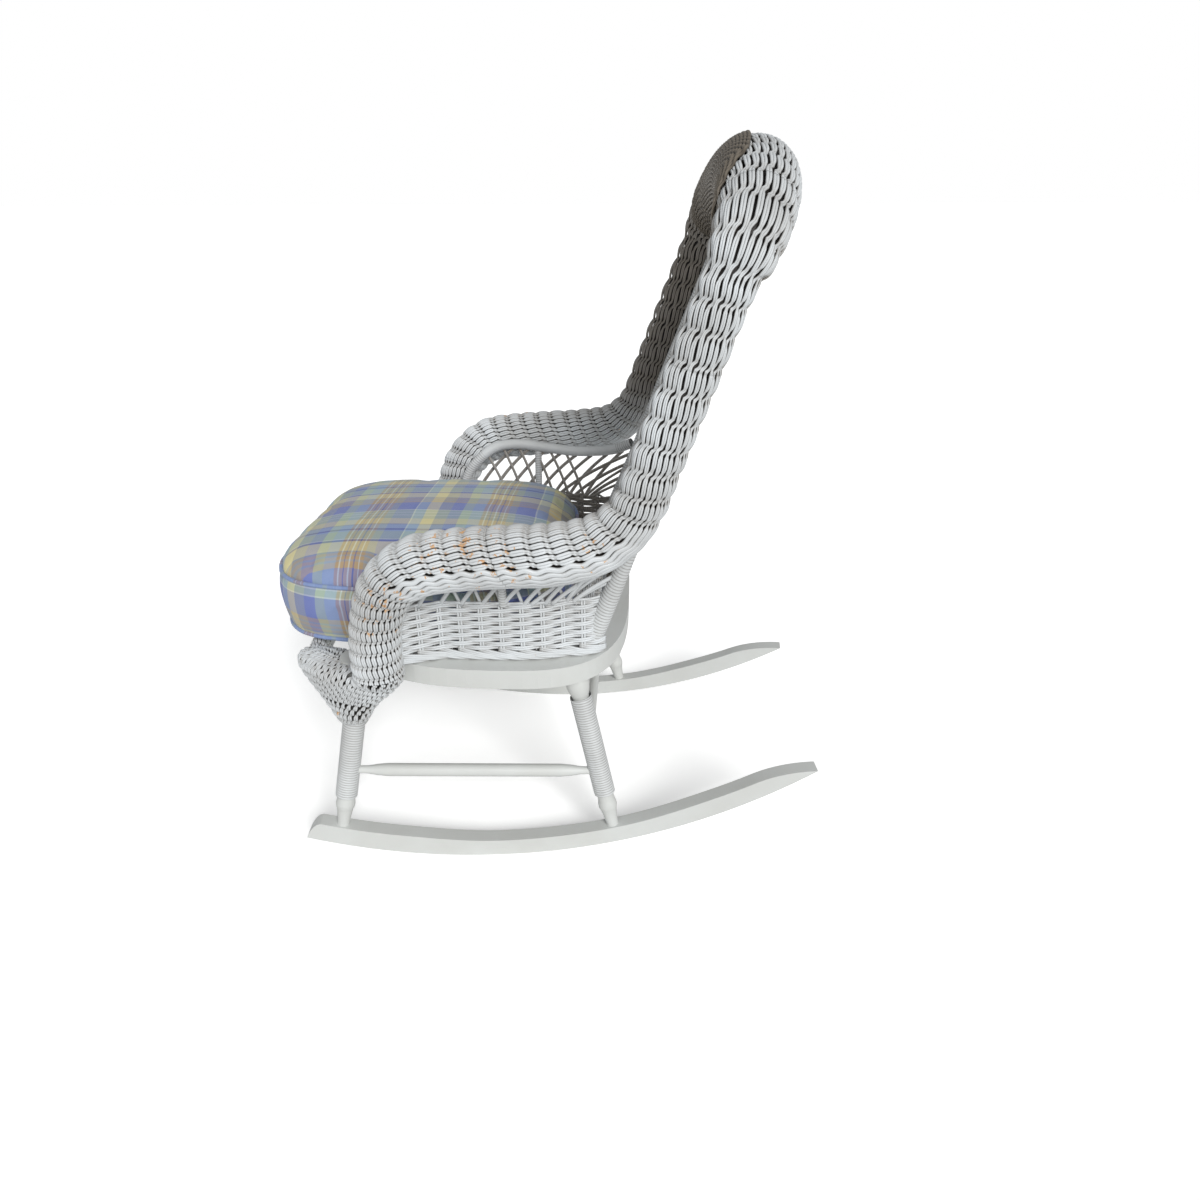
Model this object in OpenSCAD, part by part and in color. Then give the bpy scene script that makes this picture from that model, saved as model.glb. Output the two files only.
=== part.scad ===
// Wicker rocking chair with a rolled arm and back, turned legs and a loose box cushion.
// Millimetres, +Z up, the sitter faces -Y. The origin lies on the floor under the middle
// of the outline, and places are first worked out from the line where the rockers touch
// the floor.

/* [Rockers] */
// Radius of the rocking edge
rocker_r = 947; // [900:1:1000]
// Length of a rocker in front of the floor contact
rocker_front = 300; // [290:1:320]
// Length of a rocker behind the floor contact
rocker_back = 500; // [470:1:520]
// Thickness of a rocker across the chair
rocker_w = 25.5; // [22:0.5:30]
// Depth of a rocker at the floor contact
rocker_depth = 28; // [26:1:34]
// Depth of a rocker where it swells near its ends
rocker_end_depth = 33; // [30:1:40]
// Distance of a rocker's middle inside the seat hoop's side, at the floor contact
rocker_inset = 29; // [20:1:40]
// Angle by which the rockers close in towards the back
rocker_toe = 5.3; // [2:0.1:7]

/* [Legs] */
// Distance from the floor contact forward to a front foot
front_foot_y = 243; // [230:1:255]
// Distance from the floor contact back to a rear foot
rear_foot_y = 179; // [165:1:185]
// Distance of a front leg's top outside the seat hoop's outline beside it
front_top_out = 29; // [26:1:32]
// Distance of a front leg's top behind the seat hoop's front
front_top_inset = 67; // [63:1:71]
// Distance of a rear leg's top inside the seat hoop's side
rear_top_inset = 63; // [57:1:73]
// Distance from the floor contact back to a rear leg's top
rear_top_y = 120; // [110:1:126]
// Radius of a leg under its winding
leg_r = 12.9; // [12:0.1:14]
// Radius of a leg's foot
foot_r = 9.5; // [9:0.5:11]
// Radius of the turned swelling near a foot
collar_r = 15; // [14:0.5:17]
// Height of the swelling above the foot
collar_rise = 38; // [30:1:45]
// Half the length of the swelling
collar_half = 13; // [10:1:18]
// Radius of the turned bulb at a rear leg's top
bulb_r = 18; // [16:0.5:20]
// Length of the turned bulb
bulb_len = 46; // [35:1:55]
// Radius of the tenon at each end of a leg
tenon_r = 6.5; // [5:0.5:8]
// Length of the tenon in the rocker
foot_tenon = 16; // [12:1:20]
// Length of the tenon in the seat hoop
top_tenon = 18; // [14:1:22]

/* [Windings] */
// Width of the cane strand
strand_w = 3.9; // [3:0.1:4]
// Thickness of the cane strand
strand_t = 2; // [1.5:0.1:2.4]
// Rise of the winding in one turn
winding_pitch = 4.4; // [4.35:0.05:5.5]

/* [Stretchers] */
// Height of a side stretcher's front end above the floor
side_front_h = 160; // [150:1:163]
// Height of a side stretcher's rear end above the floor
side_rear_h = 143; // [135:1:160]
// Radius of a side stretcher
side_stretcher_r = 10; // [8:0.5:12]
// Height of the front and rear stretchers above the floor
cross_stretcher_h = 213; // [205:1:220]
// Radius of the front stretcher's turned middle
front_stretcher_r = 12.5; // [10:0.5:14]
// Radius of the rear stretcher
rear_stretcher_r = 7.5; // [7:0.5:10]
// Radius of a stretcher's neck beside a leg
neck_r = 6; // [5:0.5:6.5]
// Radius of a stretcher's tenon
stretcher_tenon_r = 4.5; // [3.5:0.5:5]
// Depth of a stretcher's tenon in a leg
stretcher_tenon = 9; // [7:0.5:10]

/* [Seat] */
// Height of the seat hoop's top face above the floor
seat_h = 350; // [342:1:362]
// Depth of the seat hoop
hoop_depth = 30; // [26:1:34]
// Width of the seat hoop's bent rail
hoop_rail_w = 46; // [42:1:52]
// Half the width of the seat hoop
seat_half_w = 273; // [268:1:280]
// Distance from the floor contact back to the widest place of the seat
seat_mid_y = 10; // [5:1:15]
// Length of the seat hoop in front of its widest place
seat_front_len = 272; // [266:1:278]
// Length of the seat hoop behind its widest place
seat_rear_len = 190; // [186:1:196]
// Radius of the seat hoop's corner over a front leg
corner_r = 24; // [22:0.5:26]
// Thickness of the woven seat deck
deck_t = 8; // [6:0.5:12]

/* [Arms] */
// Height of the arm roll's middle above the seat hoop, at the middle of the arm
arm_rise = 184; // [176:1:192]
// Radius of the arm roll over its ribs
arm_roll_r = 41; // [38:0.5:42]
// Distance of the arm roll's middle outside the seat hoop's side
arm_roll_out = 31; // [29:1:37]
// Radius of the arm roll where it comes down at the front
arm_drop_r = 36.5; // [34:0.5:38]
// Distance of the arm roll's middle outside the hoop's side where it comes down
arm_drop_out = 12; // [11:1:19]
// Radius of the bound arm rail
arm_rail_r = 9; // [8:0.5:9.5]
// Distance of the arm rail's foot inside the seat hoop's side
arm_foot_inset = 27; // [26:0.5:29]
// Distance from the floor contact forward to the arm rail's foot
arm_foot_y = 118; // [112:1:122]
// Radius of the post under the middle of an arm rail
arm_post_r = 4; // [3:0.5:5]
// Distance from the floor contact back to the post under an arm rail
arm_post_y = 25; // [15:1:35]

/* [Back] */
// Angle by which the back leans from upright
recline = 20.6; // [19:0.1:22]
// Distance from the floor contact back to the back roll's line, at the seat's height
back_foot_y = 116.6; // [112:0.5:122]
// Radius of the back roll over its ribs
back_roll_r = 35; // [33:0.5:37]
// Distance of the back roll's middle inside the hoop's side, at the shoulders
shoulder_inset = 1; // [0:0.5:10]
// Length along the back from the top rail's ends to the shoulders
shoulder_over_rail = 11; // [2:1:24]
// Rise of the back roll's middle above the shoulders
crest_rise = 122; // [112:1:134]
// Radius of the roll at the crest's middle
crest_r = 52; // [47:0.5:54]
// Depth of the hollows between the ribs of the rolls
rib_depth = 3.8; // [2:0.2:5]
// Distance by which the crest's middle lies behind the back roll's line
crest_set_back = 8; // [2:1:12]
// Radius of the back bow
bow_r = 9; // [8:0.5:10]
// Distance of the back bow behind the back roll's line
bow_set_back = 22; // [20:0.5:24]
// Distance of a foot of the back bow inside the seat hoop's side
bow_foot_inset = 73; // [69:1:79]
// Radius of the cross rails in the back
rail_r = 7; // [6:0.5:8]
// Length along the back from the seat to the bottom rail
bottom_rail_len = 84; // [76:1:96]
// Length along the back from the seat to the top rail's ends
top_rail_len = 540; // [530:1:550]
// Length along the back between the middle and top rails
opening_len = 70; // [60:1:84]
// Rise of the middle and top rails at the chair's middle
rail_rise = 34; // [20:1:44]
// Radius of the spindles between the middle and top rails
spindle_r = 3; // [2:0.25:4]
// Distance between neighbouring spindles
spindle_pitch = 24; // [18:1:36]
// Thickness of the woven back and head panels
panel_t = 6; // [4:0.5:8]
// Width of the row of slits between the back panel and the bow
ladder_w = 26; // [20:1:34]
// Distance between the rungs of that row
rung_pitch = 22; // [18:1:30]
// Radius of a rung
rung_r = 2.2; // [1.5:0.1:3]

/* [Skirts and sleeves] */
// Share of the arm's rise that the closed side weave takes up
skirt_share = 0.5; // [0.44:0.01:0.54]
// Thickness of the closed side weave
skirt_t = 8; // [6:0.5:9]
// Distance of the side weave's outer face inside the hoop's side
skirt_inset_side = 28; // [27:0.5:30]
// Length of the side weave's curve in front of the seat's widest place
skirt_front_len = 380; // [360:5:420]
// Distance of the side weave's outer face inside the hoop's back
skirt_inset_back = 14; // [12:0.5:18]
// Radius of the lattice reeds
reed_r = 2.2; // [1.6:0.1:2.5]
// Distance between the stakes that the lattice reeds rise from
reed_pitch = 29.4; // [26:0.2:32]
// Distance that an outer lattice reed leans back on its way up
outer_lean = 72; // [60:1:80]
// Distance that an inner lattice reed leans forward on its way up
inner_lean = 34; // [26:1:42]
// Height of a front sleeve's lower end above the floor
sleeve_low_h = 252; // [246:1:258]
// Radius of a front sleeve's lower end
sleeve_low_r = 27; // [25:0.5:30]
// Half the width of a front sleeve's top
sleeve_half_w = 41; // [38:1:44]
// Distance by which a front sleeve bellies forward between its ends
sleeve_belly = 7; // [2:1:10]
// Distance of the joint between sleeve and apron inside the seat hoop's side
apron_end_inset = 68; // [61:1:75]
// Half the depth of the apron's rolled edge, front to back
apron_half_t = 14; // [11:0.5:16]
// Half the height of the apron's rolled edge
apron_half_h = 22; // [16:0.5:24]
// Distance of the apron's middle line in front of the seat hoop
apron_out = 20; // [17:1:24]
// Distance by which the apron falls back at its ends
apron_bow = 14; // [8:1:20]

/* [Cushion] */
// Distance of the cushion's side inside the seat hoop's side
cushion_inset = 41; // [40:0.5:47]
// Distance of the cushion's front in front of the seat hoop
cushion_out = 95; // [85:1:102]
// Distance from the floor contact back to the cushion's back
cushion_back = 128; // [120:1:132]
// Height of the cushion's border
cushion_edge_h = 106; // [95:1:112]
// Rise of the cushion's crown above its border
cushion_crown = 42; // [30:1:46]
// Distance by which the cushion's sides are drawn in between the corners
cushion_draw = 5; // [2:0.5:8]
// Distance by which the cushion's border swells
cushion_swell = 7; // [4:0.5:10]

/* [Hidden] */

// Clearance between a tenon and its hole
fit = 0.1;
// Clearance between neighbouring pieces that aren't jointed
gap = 0.3;
// Overrun of a cut past a face
over = 5;
// Exponents of the seat hoop's outline in front of and behind its widest place
hoop_front_power = 2.5;
hoop_rear_power = 3.2;
// Exponent of the crest's arch
crest_power = 2.2;
// Exponent of the cushion's outline
cushion_power = 3.4;
// Sides and rings of the swept pieces
roll_sides = 12;
rail_sides = 12;
strand_sides = 6;
turn_steps = 8;
outline_steps = 72;

// Distances from the chair's middle that follow the seat's width
rocker_half_gap = seat_half_w - rocker_inset;
seat_front_y = seat_front_len - seat_mid_y;
front_top_y = seat_front_y - front_top_inset;
hoop_share = (front_top_y + seat_mid_y) / seat_front_len;
hoop_beside = seat_half_w * pow(1 - pow(hoop_share, hoop_front_power), 1 / hoop_front_power);
front_top_x = hoop_beside + front_top_out;
rear_top_x = seat_half_w - rear_top_inset;
arm_roll_x = seat_half_w + arm_roll_out;
arm_drop_x = seat_half_w + arm_drop_out;
arm_foot_x = seat_half_w - arm_foot_inset;
shoulder_half_w = seat_half_w - shoulder_inset;
bow_foot_x = seat_half_w - bow_foot_inset;
apron_half_w = seat_half_w - apron_end_inset;
cushion_half_w = seat_half_w - cushion_inset;

hoop_low_h = seat_h - hoop_depth;
arm_h = seat_h + arm_rise;
skirt_h = arm_rise * skirt_share;
shoulder_len = top_rail_len + shoulder_over_rail;
middle_rail_len = top_rail_len - opening_len;
apron_y = seat_front_y + apron_out;
cushion_front = seat_front_y + cushion_out;
mid_y = (rocker_back - cushion_front) / 2;
strand_mid_r = (leg_r + fit + strand_t / 2) / cos(180 / turn_steps);
bound_r = strand_mid_r + strand_t / 2;

function mirrored(p) = [-p[0], p[1], p[2]];
function unit(v) = v / norm(v);
function mix(a, b, t) = a + (b - a) * t;
function ease(t) = t <= 0 ? 0 : t >= 1 ? 1 : t * t * (3 - 2 * t);
function signed_pow(v, e) = sign(v) * pow(abs(v), e);

// The place on a smooth curve through the points, at a share t of the way past point i
function spline_at(points, i, t) =
    let (last = len(points) - 1, a = points[max(i - 1, 0)], b = points[i],
         c = points[min(i + 1, last)], d = points[min(i + 2, last)])
    (b * 2 + (c - a) * t + (a * 2 - b * 5 + c * 4 - d) * t * t
        + (b * 3 - a - c * 3 + d) * t * t * t) / 2;
// A smooth curve through the points, with steps parts between two of them
function spline(points, steps) =
    let (last = len(points) - 1)
    [for (i = [0 : last - 1], k = [0 : steps - 1]) spline_at(points, i, k / steps), points[last]];

function place(p) = [p[0], p[1], p[2]];
function tangent(path, i) =
    unit(place(path[min(i + 1, len(path) - 1)]) - place(path[max(i - 1, 0)]));
function square_to(v, t) = unit(v - t * (v * t));

// The across direction at each point, carried along the path without twist
function carried(path, first) =
    [for (i = 0, u = square_to(first, tangent(path, 0)); i < len(path);
          i = i + 1, u = i < len(path) ? square_to(u, tangent(path, i)) : u) u];

// Rings of an elliptical section, u_size along the carried direction and v_size across it
function rings(path, across, sides, u_size = 0, v_size = 0) =
    [for (i = [0 : len(path) - 1])
        let (t = tangent(path, i), u = across[i], v = cross(t, u),
             ru = u_size > 0 ? u_size : path[i][3], rv = v_size > 0 ? v_size : path[i][3])
        [for (k = [0 : sides - 1])
            place(path[i]) + u * (ru * cos(360 * k / sides)) + v * (rv * sin(360 * k / sides))]];

// A closed solid through rings of points
module skin_of(ring_list) {
    n = len(ring_list[0]);
    m = len(ring_list);
    polyhedron(
        points = [for (ring = ring_list) each ring],
        faces = concat(
            [for (i = [0 : m - 2], k = [0 : n - 1])
                let (a = i * n + k, b = i * n + (k + 1) % n) each [[a, a + n, b], [b, a + n, b + n]]],
            [for (k = [1 : n - 2]) [0, k, k + 1]],
            [for (k = [1 : n - 2]) [(m - 1) * n, (m - 1) * n + k + 1, (m - 1) * n + k]]));
}

// Turns and moves its children so that their z axis runs from p to q, with their x axis
// turned aside from the lean, so that no seam lies where a level cut is longest
seam_turn = 40;
module along(p, q) {
    d = q - p;
    translate(p) rotate([0, acos(d[2] / norm(d)), atan2(d[1], d[0])]) rotate([0, 0, seam_turn])
        children();
}

module rod(p, q, r, sides = 32) {
    along(p, q) cylinder(h = norm(q - p), r = r, $fn = sides);
}

// Moves the chair from the floor contact to the middle of its outline
module stand() {
    translate([0, -mid_y, 0]) children();
}

module on_side(side) {
    scale([side, 1, 1]) children();
}

// Rockers
function rocking_edge(y) = rocker_r - sqrt(rocker_r * rocker_r - y * y);
front_round_len = rocker_depth * 0.9;
rear_round_len = rocker_depth * 3.4;
tip_power = 1.8;
function rocker_swell(y) = max(ease(-y / (rocker_front / 2)), ease((y - rear_foot_y) / (rocker_back / 3)));
function rocker_round(y) =
    let (f = (-y - rocker_front + front_round_len) / front_round_len,
         r = (y - rocker_back + rear_round_len) / rear_round_len)
    1 - pow(min(max(f, r, 0), 1), tip_power);
function rocker_top(y) =
    rocking_edge(y) + mix(rocker_depth, rocker_end_depth, rocker_swell(y)) * rocker_round(y);
rocker_steps = 72;
rocker_ys = [for (i = [0 : rocker_steps])
    mix(-rocker_front, rocker_back, (1 - cos(180 * i / rocker_steps)) / 2)];
rocker_outline = concat(
    [for (y = rocker_ys) [y, rocking_edge(y)]],
    [for (i = [rocker_steps - 1 : -1 : 1]) [rocker_ys[i], rocker_top(rocker_ys[i])]]);

module rocker_blank(width) {
    translate([rocker_half_gap, 0, 0])
        rotate([90, 0, 90 + rocker_toe])
            linear_extrude(height = width, center = true) polygon(rocker_outline);
}

module rocker(side) {
    color("gainsboro") stand() on_side(side) difference() {
        rocker_blank(rocker_w);
        for (leg = [front_leg_line, rear_leg_line])
            along(leg[0], leg[1])
                translate([0, 0, -foot_tenon - fit])
                    cylinder(h = foot_tenon + foot_tenon, r = tenon_r + fit, $fn = 32);
    }
}

// Legs
function foot_place(y) = [rocker_half_gap - y * tan(rocker_toe), y, rocker_top(y)];
front_leg_line = [foot_place(-front_foot_y), [front_top_x, -front_top_y, hoop_low_h]];
rear_leg_line = [foot_place(rear_foot_y), [rear_top_x, rear_top_y, hoop_low_h]];
function on_line(line, h) = mix(line[0], line[1], (h - line[0][2]) / (line[1][2] - line[0][2]));
function line_len(line) = norm(line[1] - line[0]);
function run_to(line, h) = norm(on_line(line, h) - line[0]);
leg_steps = 48;
function leg_radius(line, s, bulb) =
    let (body = mix(foot_r, leg_r, ease(s / collar_rise)),
         collar = abs(s - collar_rise) < collar_half
             ? (collar_r - leg_r) * pow(cos(90 * (s - collar_rise) / collar_half), 2) : 0,
         top_run = (line_len(line) - s) / bulb_len,
         swell = bulb && top_run > 0 && top_run < 1 ? (bulb_r - leg_r) * sin(180 * top_run) : 0)
    body + collar + swell;

module leg(side, line, bulb) {
    length = line_len(line);
    color("gainsboro") stand() on_side(side) {
        difference() {
            along(line[0], line[1])
                rotate_extrude($fn = 48)
                    polygon(concat(
                        [[0, -over], [leg_radius(line, 0, bulb), -over]],
                        [for (i = [0 : leg_steps])
                            [leg_radius(line, length * i / leg_steps, bulb), length * i / leg_steps]],
                        [[leg_radius(line, length, bulb), length + over], [0, length + over]]));
            rocker_blank(rocker_w * 2);
            translate([0, -rocker_front, hoop_low_h])
                cube([seat_half_w * 2, rocker_front * 2, hoop_depth]);
            stretcher_holes();
        }
        along(line[0], line[1]) {
            translate([0, 0, -foot_tenon]) cylinder(h = foot_tenon + over * 2, r = tenon_r, $fn = 32);
            translate([0, 0, length - over * 2]) cylinder(h = top_tenon + over * 2, r = tenon_r, $fn = 32);
        }
    }
}

// Cane windings, each an unbroken helix between two stretchers or turned parts
winding_clear = neck_r + strand_w;
front_bound_h = sleeve_low_h - strand_w;
rear_bound_h = hoop_low_h - bulb_len;
function winding_path(low, high) =
    let (turns = floor((high - low - strand_w) / winding_pitch), count = turns * turn_steps,
         middle = (low + high - turns * winding_pitch) / 2)
    concat(
        [[strand_mid_r, -strand_w, middle]],
        [for (i = [0 : count])
            [strand_mid_r * cos(360 * i / turn_steps), strand_mid_r * sin(360 * i / turn_steps),
             middle + winding_pitch * i / turn_steps]],
        [[strand_mid_r, strand_w, middle + turns * winding_pitch]]);

module winding_tube(low, high) {
    path = winding_path(low, high);
    skin_of(rings(path, [for (p = path) unit([p[0], p[1], 0])], strand_sides,
                  strand_t / 2, strand_w / 2));
}

module winding(side, line, low, top) {
    color("whitesmoke") stand() on_side(side) along(line[0], line[1]) {
        winding_tube(run_to(line, low) + winding_clear,
                     run_to(line, cross_stretcher_h) - winding_clear);
        winding_tube(run_to(line, cross_stretcher_h) + winding_clear, run_to(line, top));
    }
}

sample_turns = winding_path(0, winding_pitch * 5);
winding_gap = min([for (i = [0 : len(sample_turns) - 1], k = [i + turn_steps / 2 : len(sample_turns) - 1])
    norm(sample_turns[i] - sample_turns[k]) - strand_w]);
echo(least_winding_gap = winding_gap);

// Stretchers, each with a neck and a tenon at both ends
front_leg_mid = on_line(front_leg_line, side_front_h);
rear_leg_mid = on_line(rear_leg_line, side_rear_h);
front_leg_high = on_line(front_leg_line, cross_stretcher_h);
rear_leg_high = on_line(rear_leg_line, cross_stretcher_h);
neck_run_share = 0.09;
// Share of a neck's radius by which its shoulder stands clear of a leaning leg
lean_share = 0.3;
stretcher_steps = 24;

module stretcher(p, q, r, bulge_r) {
    length = norm(q - p);
    start = leg_r + neck_r * lean_share;
    inner = leg_r - stretcher_tenon;
    neck_run = length * neck_run_share;
    body = [for (i = [0 : stretcher_steps])
        let (z = mix(start, length - start, i / stretcher_steps),
             run = min(z - start, length - start - z),
             swell = ease((run - bound_r / 2) / neck_run),
             bulge = pow(max(0, 1 - abs(z / length - 1 / 2) * 8), 2) * (bulge_r - r))
        [mix(neck_r, r, swell) + bulge, z]];
    along(p, q) rotate_extrude($fn = 32) polygon(concat(
        [[0, inner], [stretcher_tenon_r, inner], [stretcher_tenon_r, start]],
        body,
        [[stretcher_tenon_r, length - start], [stretcher_tenon_r, length - inner],
         [0, length - inner]]));
}

module side_stretcher(side) {
    color("gainsboro") stand() on_side(side)
        stretcher(front_leg_mid, rear_leg_mid, side_stretcher_r, side_stretcher_r);
}

module front_stretcher() {
    color("gainsboro") stand()
        stretcher(mirrored(front_leg_high), front_leg_high, side_stretcher_r, front_stretcher_r);
}

module rear_stretcher() {
    color("gainsboro") stand()
        stretcher(mirrored(rear_leg_high), rear_leg_high, rear_stretcher_r, rear_stretcher_r);
}

module stretcher_holes() {
    hole_r = stretcher_tenon_r + fit;
    hole_start = leg_r - stretcher_tenon - fit;
    for (pair = [[front_leg_mid, rear_leg_mid], [rear_leg_mid, front_leg_mid],
                 [front_leg_high, mirrored(front_leg_high)], [rear_leg_high, mirrored(rear_leg_high)]])
        along(pair[0], pair[1])
            translate([0, 0, hole_start]) cylinder(h = stretcher_tenon + over, r = hole_r, $fn = 32);
}

// Seat hoop and deck
function hoop_point(a, side_in, back_in) =
    let (power = sin(a) < 0 ? hoop_front_power : hoop_rear_power,
         run = sin(a) < 0 ? seat_front_len : seat_rear_len)
    [(seat_half_w - side_in) * signed_pow(cos(a), 2 / power),
     seat_mid_y + (run - back_in) * signed_pow(sin(a), 2 / power)];
function hoop_outline(inset) =
    [for (i = [0 : outline_steps - 1]) hoop_point(360 * i / outline_steps, inset, inset)];

module seat_hoop() {
    color("lightgray") stand() difference() {
        union() {
            translate([0, 0, hoop_low_h]) linear_extrude(height = hoop_depth) polygon(hoop_outline(0));
            for (side = [-1, 1])
                translate([side * front_top_x, -front_top_y, hoop_low_h])
                    cylinder(h = hoop_depth, r = corner_r, $fn = 48);
        }
        translate([0, 0, hoop_low_h - over])
            linear_extrude(height = hoop_depth + over * 2) polygon(hoop_outline(hoop_rail_w));
        for (side = [-1, 1], line = [front_leg_line, rear_leg_line])
            on_side(side) along(line[0], line[1])
                translate([0, 0, line_len(line) - over])
                    cylinder(h = top_tenon + fit + over, r = tenon_r + fit, $fn = 32);
        for (side = [-1, 1], foot = [arm_foot, bow_foot])
            translate([side * foot[0], foot[1], seat_h - post_tenon - fit])
                cylinder(h = post_tenon + over, r = post_tenon_r + fit, $fn = 32);
    }
}

module seat_deck() {
    color("whitesmoke") stand() translate([0, 0, seat_h - deck_t])
        linear_extrude(height = deck_t) polygon(hoop_outline(hoop_rail_w + gap));
}

// The route of the woven roll, from the front sleeve along the arm to the back
// Places on the back are given across the chair, along the back and in front of its line
function on_back(x, s, forward = 0) =
    [x, back_foot_y + s * sin(recline) - forward * cos(recline),
     seat_h + s * cos(recline) + forward * sin(recline)];
function with_r(p, r) = [p[0], p[1], p[2], r];
arm_front_run = arm_foot_y + arm_drop_r * 0.85;
bend_len = (arm_rise + arm_roll_r * 1.4) / cos(recline);
roll_lift = gap * 4;
roll_side = [
    [arm_drop_x, -arm_front_run, seat_h + roll_lift, arm_drop_r],
    [arm_drop_x, -arm_front_run, seat_h + arm_rise * 0.2, arm_drop_r],
    [arm_drop_x + gap, -arm_front_run * 0.955, seat_h + arm_rise * 0.46, arm_drop_r],
    [mix(arm_drop_x, arm_roll_x, 1 / 2), -arm_front_run * 0.8, seat_h + arm_rise * 0.75,
     mix(arm_drop_r, arm_roll_r, 1 / 2)],
    [arm_roll_x, -arm_front_run * 0.51, arm_h - arm_rise * 0.06, arm_roll_r],
    [arm_roll_x, -arm_front_run * 0.14, arm_h, arm_roll_r],
    [arm_roll_x, arm_front_run * 0.34, arm_h + arm_rise * 0.03, arm_roll_r],
    [arm_roll_x, arm_front_run * 0.71, arm_h + arm_rise * 0.05, arm_roll_r],
    [mix(arm_roll_x, shoulder_half_w, 0.15), arm_front_run * 1.1, arm_h + arm_rise * 0.13,
     mix(arm_roll_r, back_roll_r, 0.4)],
    [mix(arm_roll_x, shoulder_half_w, 0.3), arm_front_run * 1.39, arm_h + arm_rise * 0.34,
     mix(arm_roll_r, back_roll_r, 0.8)],
    with_r(on_back(mix(arm_roll_x, shoulder_half_w, 0.45), mix(bend_len, shoulder_len, 0.25)), back_roll_r),
    with_r(on_back(mix(arm_roll_x, shoulder_half_w, 0.75), mix(bend_len, shoulder_len, 0.62)), back_roll_r)];
crest_steps = 12;
// Ribs in each part of the roll's route, from a front foot to the crest's middle
rib_shares = [2, 2.5, 2.5, 2.25, 2.25, 2.75, 2, 2.25, 2, 2.25, 3.25, 3.25, 1, 1, 1.25, 1.5, 1.75, 2.25];
crest = [for (i = [0 : crest_steps])
    let (a = 180 * i / crest_steps, share = pow(sin(a), 2 / crest_power))
    with_r(on_back(shoulder_half_w * signed_pow(cos(a), 2 / crest_power),
                   shoulder_len + crest_rise * share, -crest_set_back * share),
           mix(back_roll_r, crest_r, pow(share, 0.7)))];
side_count = len(roll_side);
arm_steps = 9;
roll_points = concat(roll_side, crest,
    [for (i = [side_count - 1 : -1 : 0]) concat(mirrored(roll_side[i]), [roll_side[i][3]])]);
half_places = len(rib_shares);
function ribs_before(place) = place == 0 ? 0
    : ribs_before(place - 1) + rib_shares[min(place - 1, half_places * 2 - place)];
rib_places = [for (i = [0 : half_places * 2]) [ribs_before(i), i]];
rib_total = ribs_before(half_places * 2);
function place_along(ribs) = lookup(min(max(ribs, 0), rib_total), rib_places);
function roll_at(ribs) =
    let (along = place_along(ribs), i = floor(along)) spline_at(roll_points, i, along - i);
// Two places for each rib: over the rib and in the hollow after it
roll_last = rib_total * 2;
roll_route = [for (k = [0 : roll_last]) roll_at(k / 2)];
roll_across = carried(roll_route, [1, 0, 0]);
function across_at(ribs) =
    let (at = min(max(ribs * 2, 0), roll_last - 1), k = floor(at))
    unit(mix(roll_across[k], roll_across[k + 1], at - k));
// The ribs along the arm lean: their lower side lies further back, by this share of a rib
lean_shares = [[0, 0], [3, 0.48], [8, 0.48], [10, 0.15], [18, 0]];
function lean(ribs) = let (along = place_along(ribs))
    along < half_places ? lookup(along, lean_shares) : -lookup(half_places * 2 - along, lean_shares);
function leaning_place(ribs, r, a) =
    let (at = ribs + lean(ribs) * sin(a), u = across_at(at), p = place(roll_at(at)),
         t = unit(place(roll_at(at + 1 / 4)) - place(roll_at(at - 1 / 4))))
    p + square_to(u, t) * (r * cos(a)) + cross(t, u) * (r * sin(a));
roll_rings = [for (k = [0 : roll_last])
    let (r = roll_route[k][3] - (k % 2) * rib_depth)
    [for (i = [0 : roll_sides - 1]) leaning_place(k / 2, r, 360 * i / roll_sides)]];
arm_end = ribs_before(arm_steps) * 2;

module roll_part(from, to) {
    color("whitesmoke") stand() skin_of([for (i = [from : to]) roll_rings[i]]);
}

module arm_roll_left() {
    roll_part(0, arm_end);
}

module arm_roll_right() {
    roll_part(roll_last - arm_end, roll_last);
}

module back_roll() {
    roll_part(arm_end, roll_last - arm_end);
}

// Back bow, parallel to the back roll along the sides and the crest
post_tenon_r = 4;
post_tenon = 14;
back_forward = [0, -cos(recline), sin(recline)];
bow_first = ceil(ribs_before(side_count - 2)) * 2;
bow_last = roll_last - bow_first;
bow_foot_s = bow_set_back * tan(recline);
bow_foot = on_back(bow_foot_x, bow_foot_s, -bow_set_back);
// The bow's place beside one of the roll's rings, held to the roll where it is set back
function bow_beside(i) =
    let (p = place(roll_route[i]), touch = roll_route[i][3] + bow_r + gap * 4,
         back = bow_set_back - (on_back(0, 0) - p) * back_forward,
         across = square_to(roll_across[i], back_forward))
    p - across * sqrt(touch * touch - back * back) - back_forward * back;
bow_low = [for (share = [0, 0.25, 0.5, 0.75]) mix(bow_foot, bow_beside(bow_first), share)];
bow_path = concat(
    [bow_low[0] - [0, 0, over], each bow_low],
    [for (i = [bow_first : bow_last]) bow_beside(i)],
    [for (i = [len(bow_low) - 1 : -1 : 0]) mirrored(bow_low[i])],
    [mirrored(bow_low[0]) - [0, 0, over]]);

module back_bow() {
    color("gainsboro") stand() {
        difference() {
            skin_of(rings(bow_path, carried(bow_path, [1, 0, 0]), rail_sides, bow_r, bow_r));
            translate([-seat_half_w, 0, hoop_low_h]) cube([seat_half_w * 2, rocker_back, hoop_depth]);
        }
        for (side = [-1, 1])
            translate([side * bow_foot[0], bow_foot[1], seat_h - post_tenon])
                cylinder(h = post_tenon + over, r = post_tenon_r, $fn = 32);
    }
}

// Arm rail, from its foot up round the front of the arm and back to the bow
arm_rail_x = arm_roll_x - arm_roll_r - gap - arm_rail_r;
arm_foot = [arm_foot_x, -arm_foot_y];
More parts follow.
